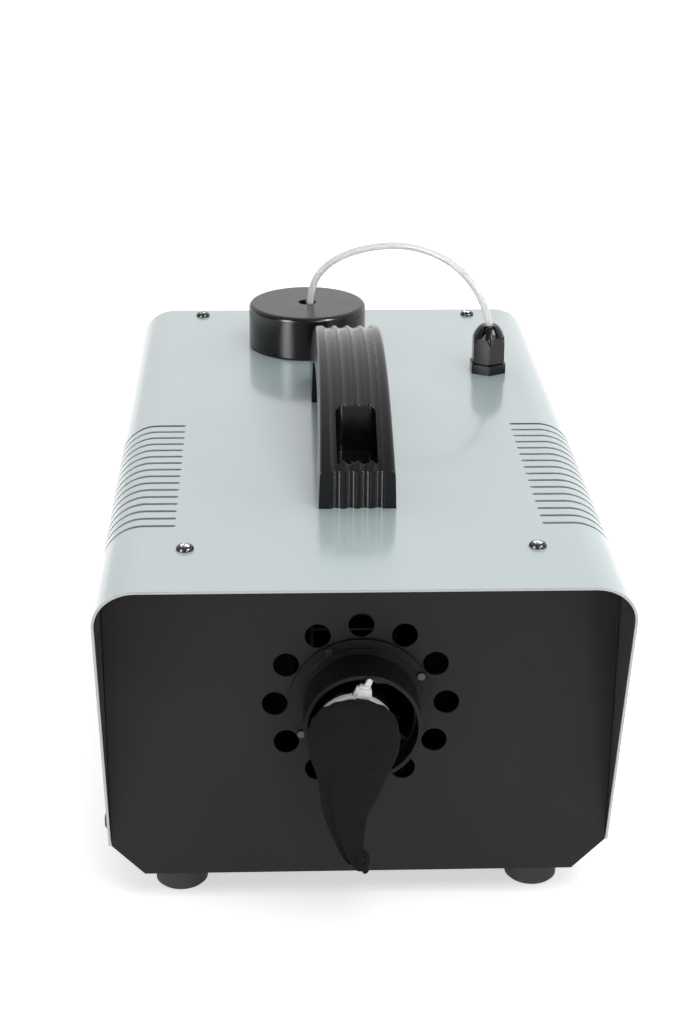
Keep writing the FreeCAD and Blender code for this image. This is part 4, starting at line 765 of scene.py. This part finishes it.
# ---- floor, light and colour --------------------------------------------------------------
FLOOR_WHITE = 0.80
FLOOR_GLOW = 0.60  # the floor is a lit white table
FLOOR_HALF = 8  # m
SKY_FRONT = 0.16
SKY_BACK = 0.98
SKY_SIDE = 0.20  # brighter to the right
SKY_TOP = 0.16
SKY_FADE = (-0.45, 0.75)  # from front to back
KEY_PLACE = (0.45, -1.05, 1.9)
KEY_SIZE = 1.4
KEY_POWER = 23.0
KEY_TARGET = (0, 0, 0.1)
GLINT_PLACE = (0.95, -0.85, 1.25)
GLINT_TARGET = (0, 0, 0.2)
GLINT_SIZE = 0.3
GLINT_POWER = 26.0
BOARD_HEIGHT = 0.9
BOARDS = (  # name, place, width and radiance
    ("left_board", (-0.95, -0.92, 0.55), 0.40, 18.0),
    ("right_board", (0.50, -1.15, 0.55), 0.12, 22.0),
)


def make_floor():
    mesh = bpy.data.meshes.new("floor")
    build = bmesh.new()
    bmesh.ops.create_grid(build, x_segments=1, y_segments=1, size=FLOOR_HALF)
    build.to_mesh(mesh)
    build.free()
    floor = bpy.data.objects.new("floor", mesh)
    bpy.context.scene.collection.objects.link(floor)
    white = (FLOOR_WHITE, FLOOR_WHITE, FLOOR_WHITE)
    table = Material("floor_white", white, 0.9, Specular_IOR_Level=0.1, Emission_Strength=FLOOR_GLOW)
    table.shader.inputs["Emission Color"].default_value = (1, 1, 1, 1)
    mesh.materials.append(table.material)


def make_world():
    world = bpy.data.worlds.new("studio")
    world.use_nodes = True
    tree = world.node_tree
    way = tree.nodes.new("ShaderNodeTexCoord")
    axes = tree.nodes.new("ShaderNodeSeparateXYZ")
    tree.links.new(way.outputs["Generated"], axes.inputs[0])
    behind = node_of(tree, "ShaderNodeMapRange", interpolation_type="SMOOTHSTEP")
    behind.inputs["From Min"].default_value = SKY_FADE[0]
    behind.inputs["From Max"].default_value = SKY_FADE[1]
    behind.inputs["To Min"].default_value = SKY_FRONT
    behind.inputs["To Max"].default_value = SKY_BACK
    tree.links.new(axes.outputs["Y"], behind.inputs["Value"])
    total = behind.outputs["Result"]
    for axis, weight in (("X", SKY_SIDE), ("Z", SKY_TOP)):
        part = node_of(tree, "ShaderNodeMath", operation="MULTIPLY_ADD")
        tree.links.new(axes.outputs[axis], part.inputs[0])
        part.inputs[1].default_value = weight
        tree.links.new(total, part.inputs[2])
        total = part.outputs[0]
    background = tree.nodes["Background"]
    background.inputs["Color"].default_value = (1, 1, 1, 1)
    tree.links.new(total, background.inputs["Strength"])
    bpy.context.scene.world = world
    bpy.context.scene.view_settings.view_transform = "Standard"


def soft_box(name, place, target, width, height, power, seen_in_gloss):
    """A lit board that either lights matt surfaces or shows in glossy ones."""
    data = bpy.data.lights.new(name, "AREA")
    data.shape = "RECTANGLE"
    data.size = width
    data.size_y = height
    data.energy = power
    light = bpy.data.objects.new(name, data)
    bpy.context.scene.collection.objects.link(light)
    light.location = place
    light.rotation_euler = (Vector(target) - Vector(place)).to_track_quat("-Z", "Y").to_euler()
    light.visible_camera = False
    light.visible_diffuse = not seen_in_gloss
    light.visible_glossy = seen_in_gloss


def board(name, place, width, radiance):
    """An upright board that shows as a streak down rounded faces."""
    power = radiance * math.pi * width * BOARD_HEIGHT
    soft_box(name, place, (0, 0, place[2]), width, BOARD_HEIGHT, power, True)


make_floor()
make_world()
soft_box("key", KEY_PLACE, KEY_TARGET, KEY_SIZE, KEY_SIZE, KEY_POWER, False)
soft_box("glint", GLINT_PLACE, GLINT_TARGET, GLINT_SIZE, GLINT_SIZE, GLINT_POWER, True)
for values in BOARDS:
    board(*values)
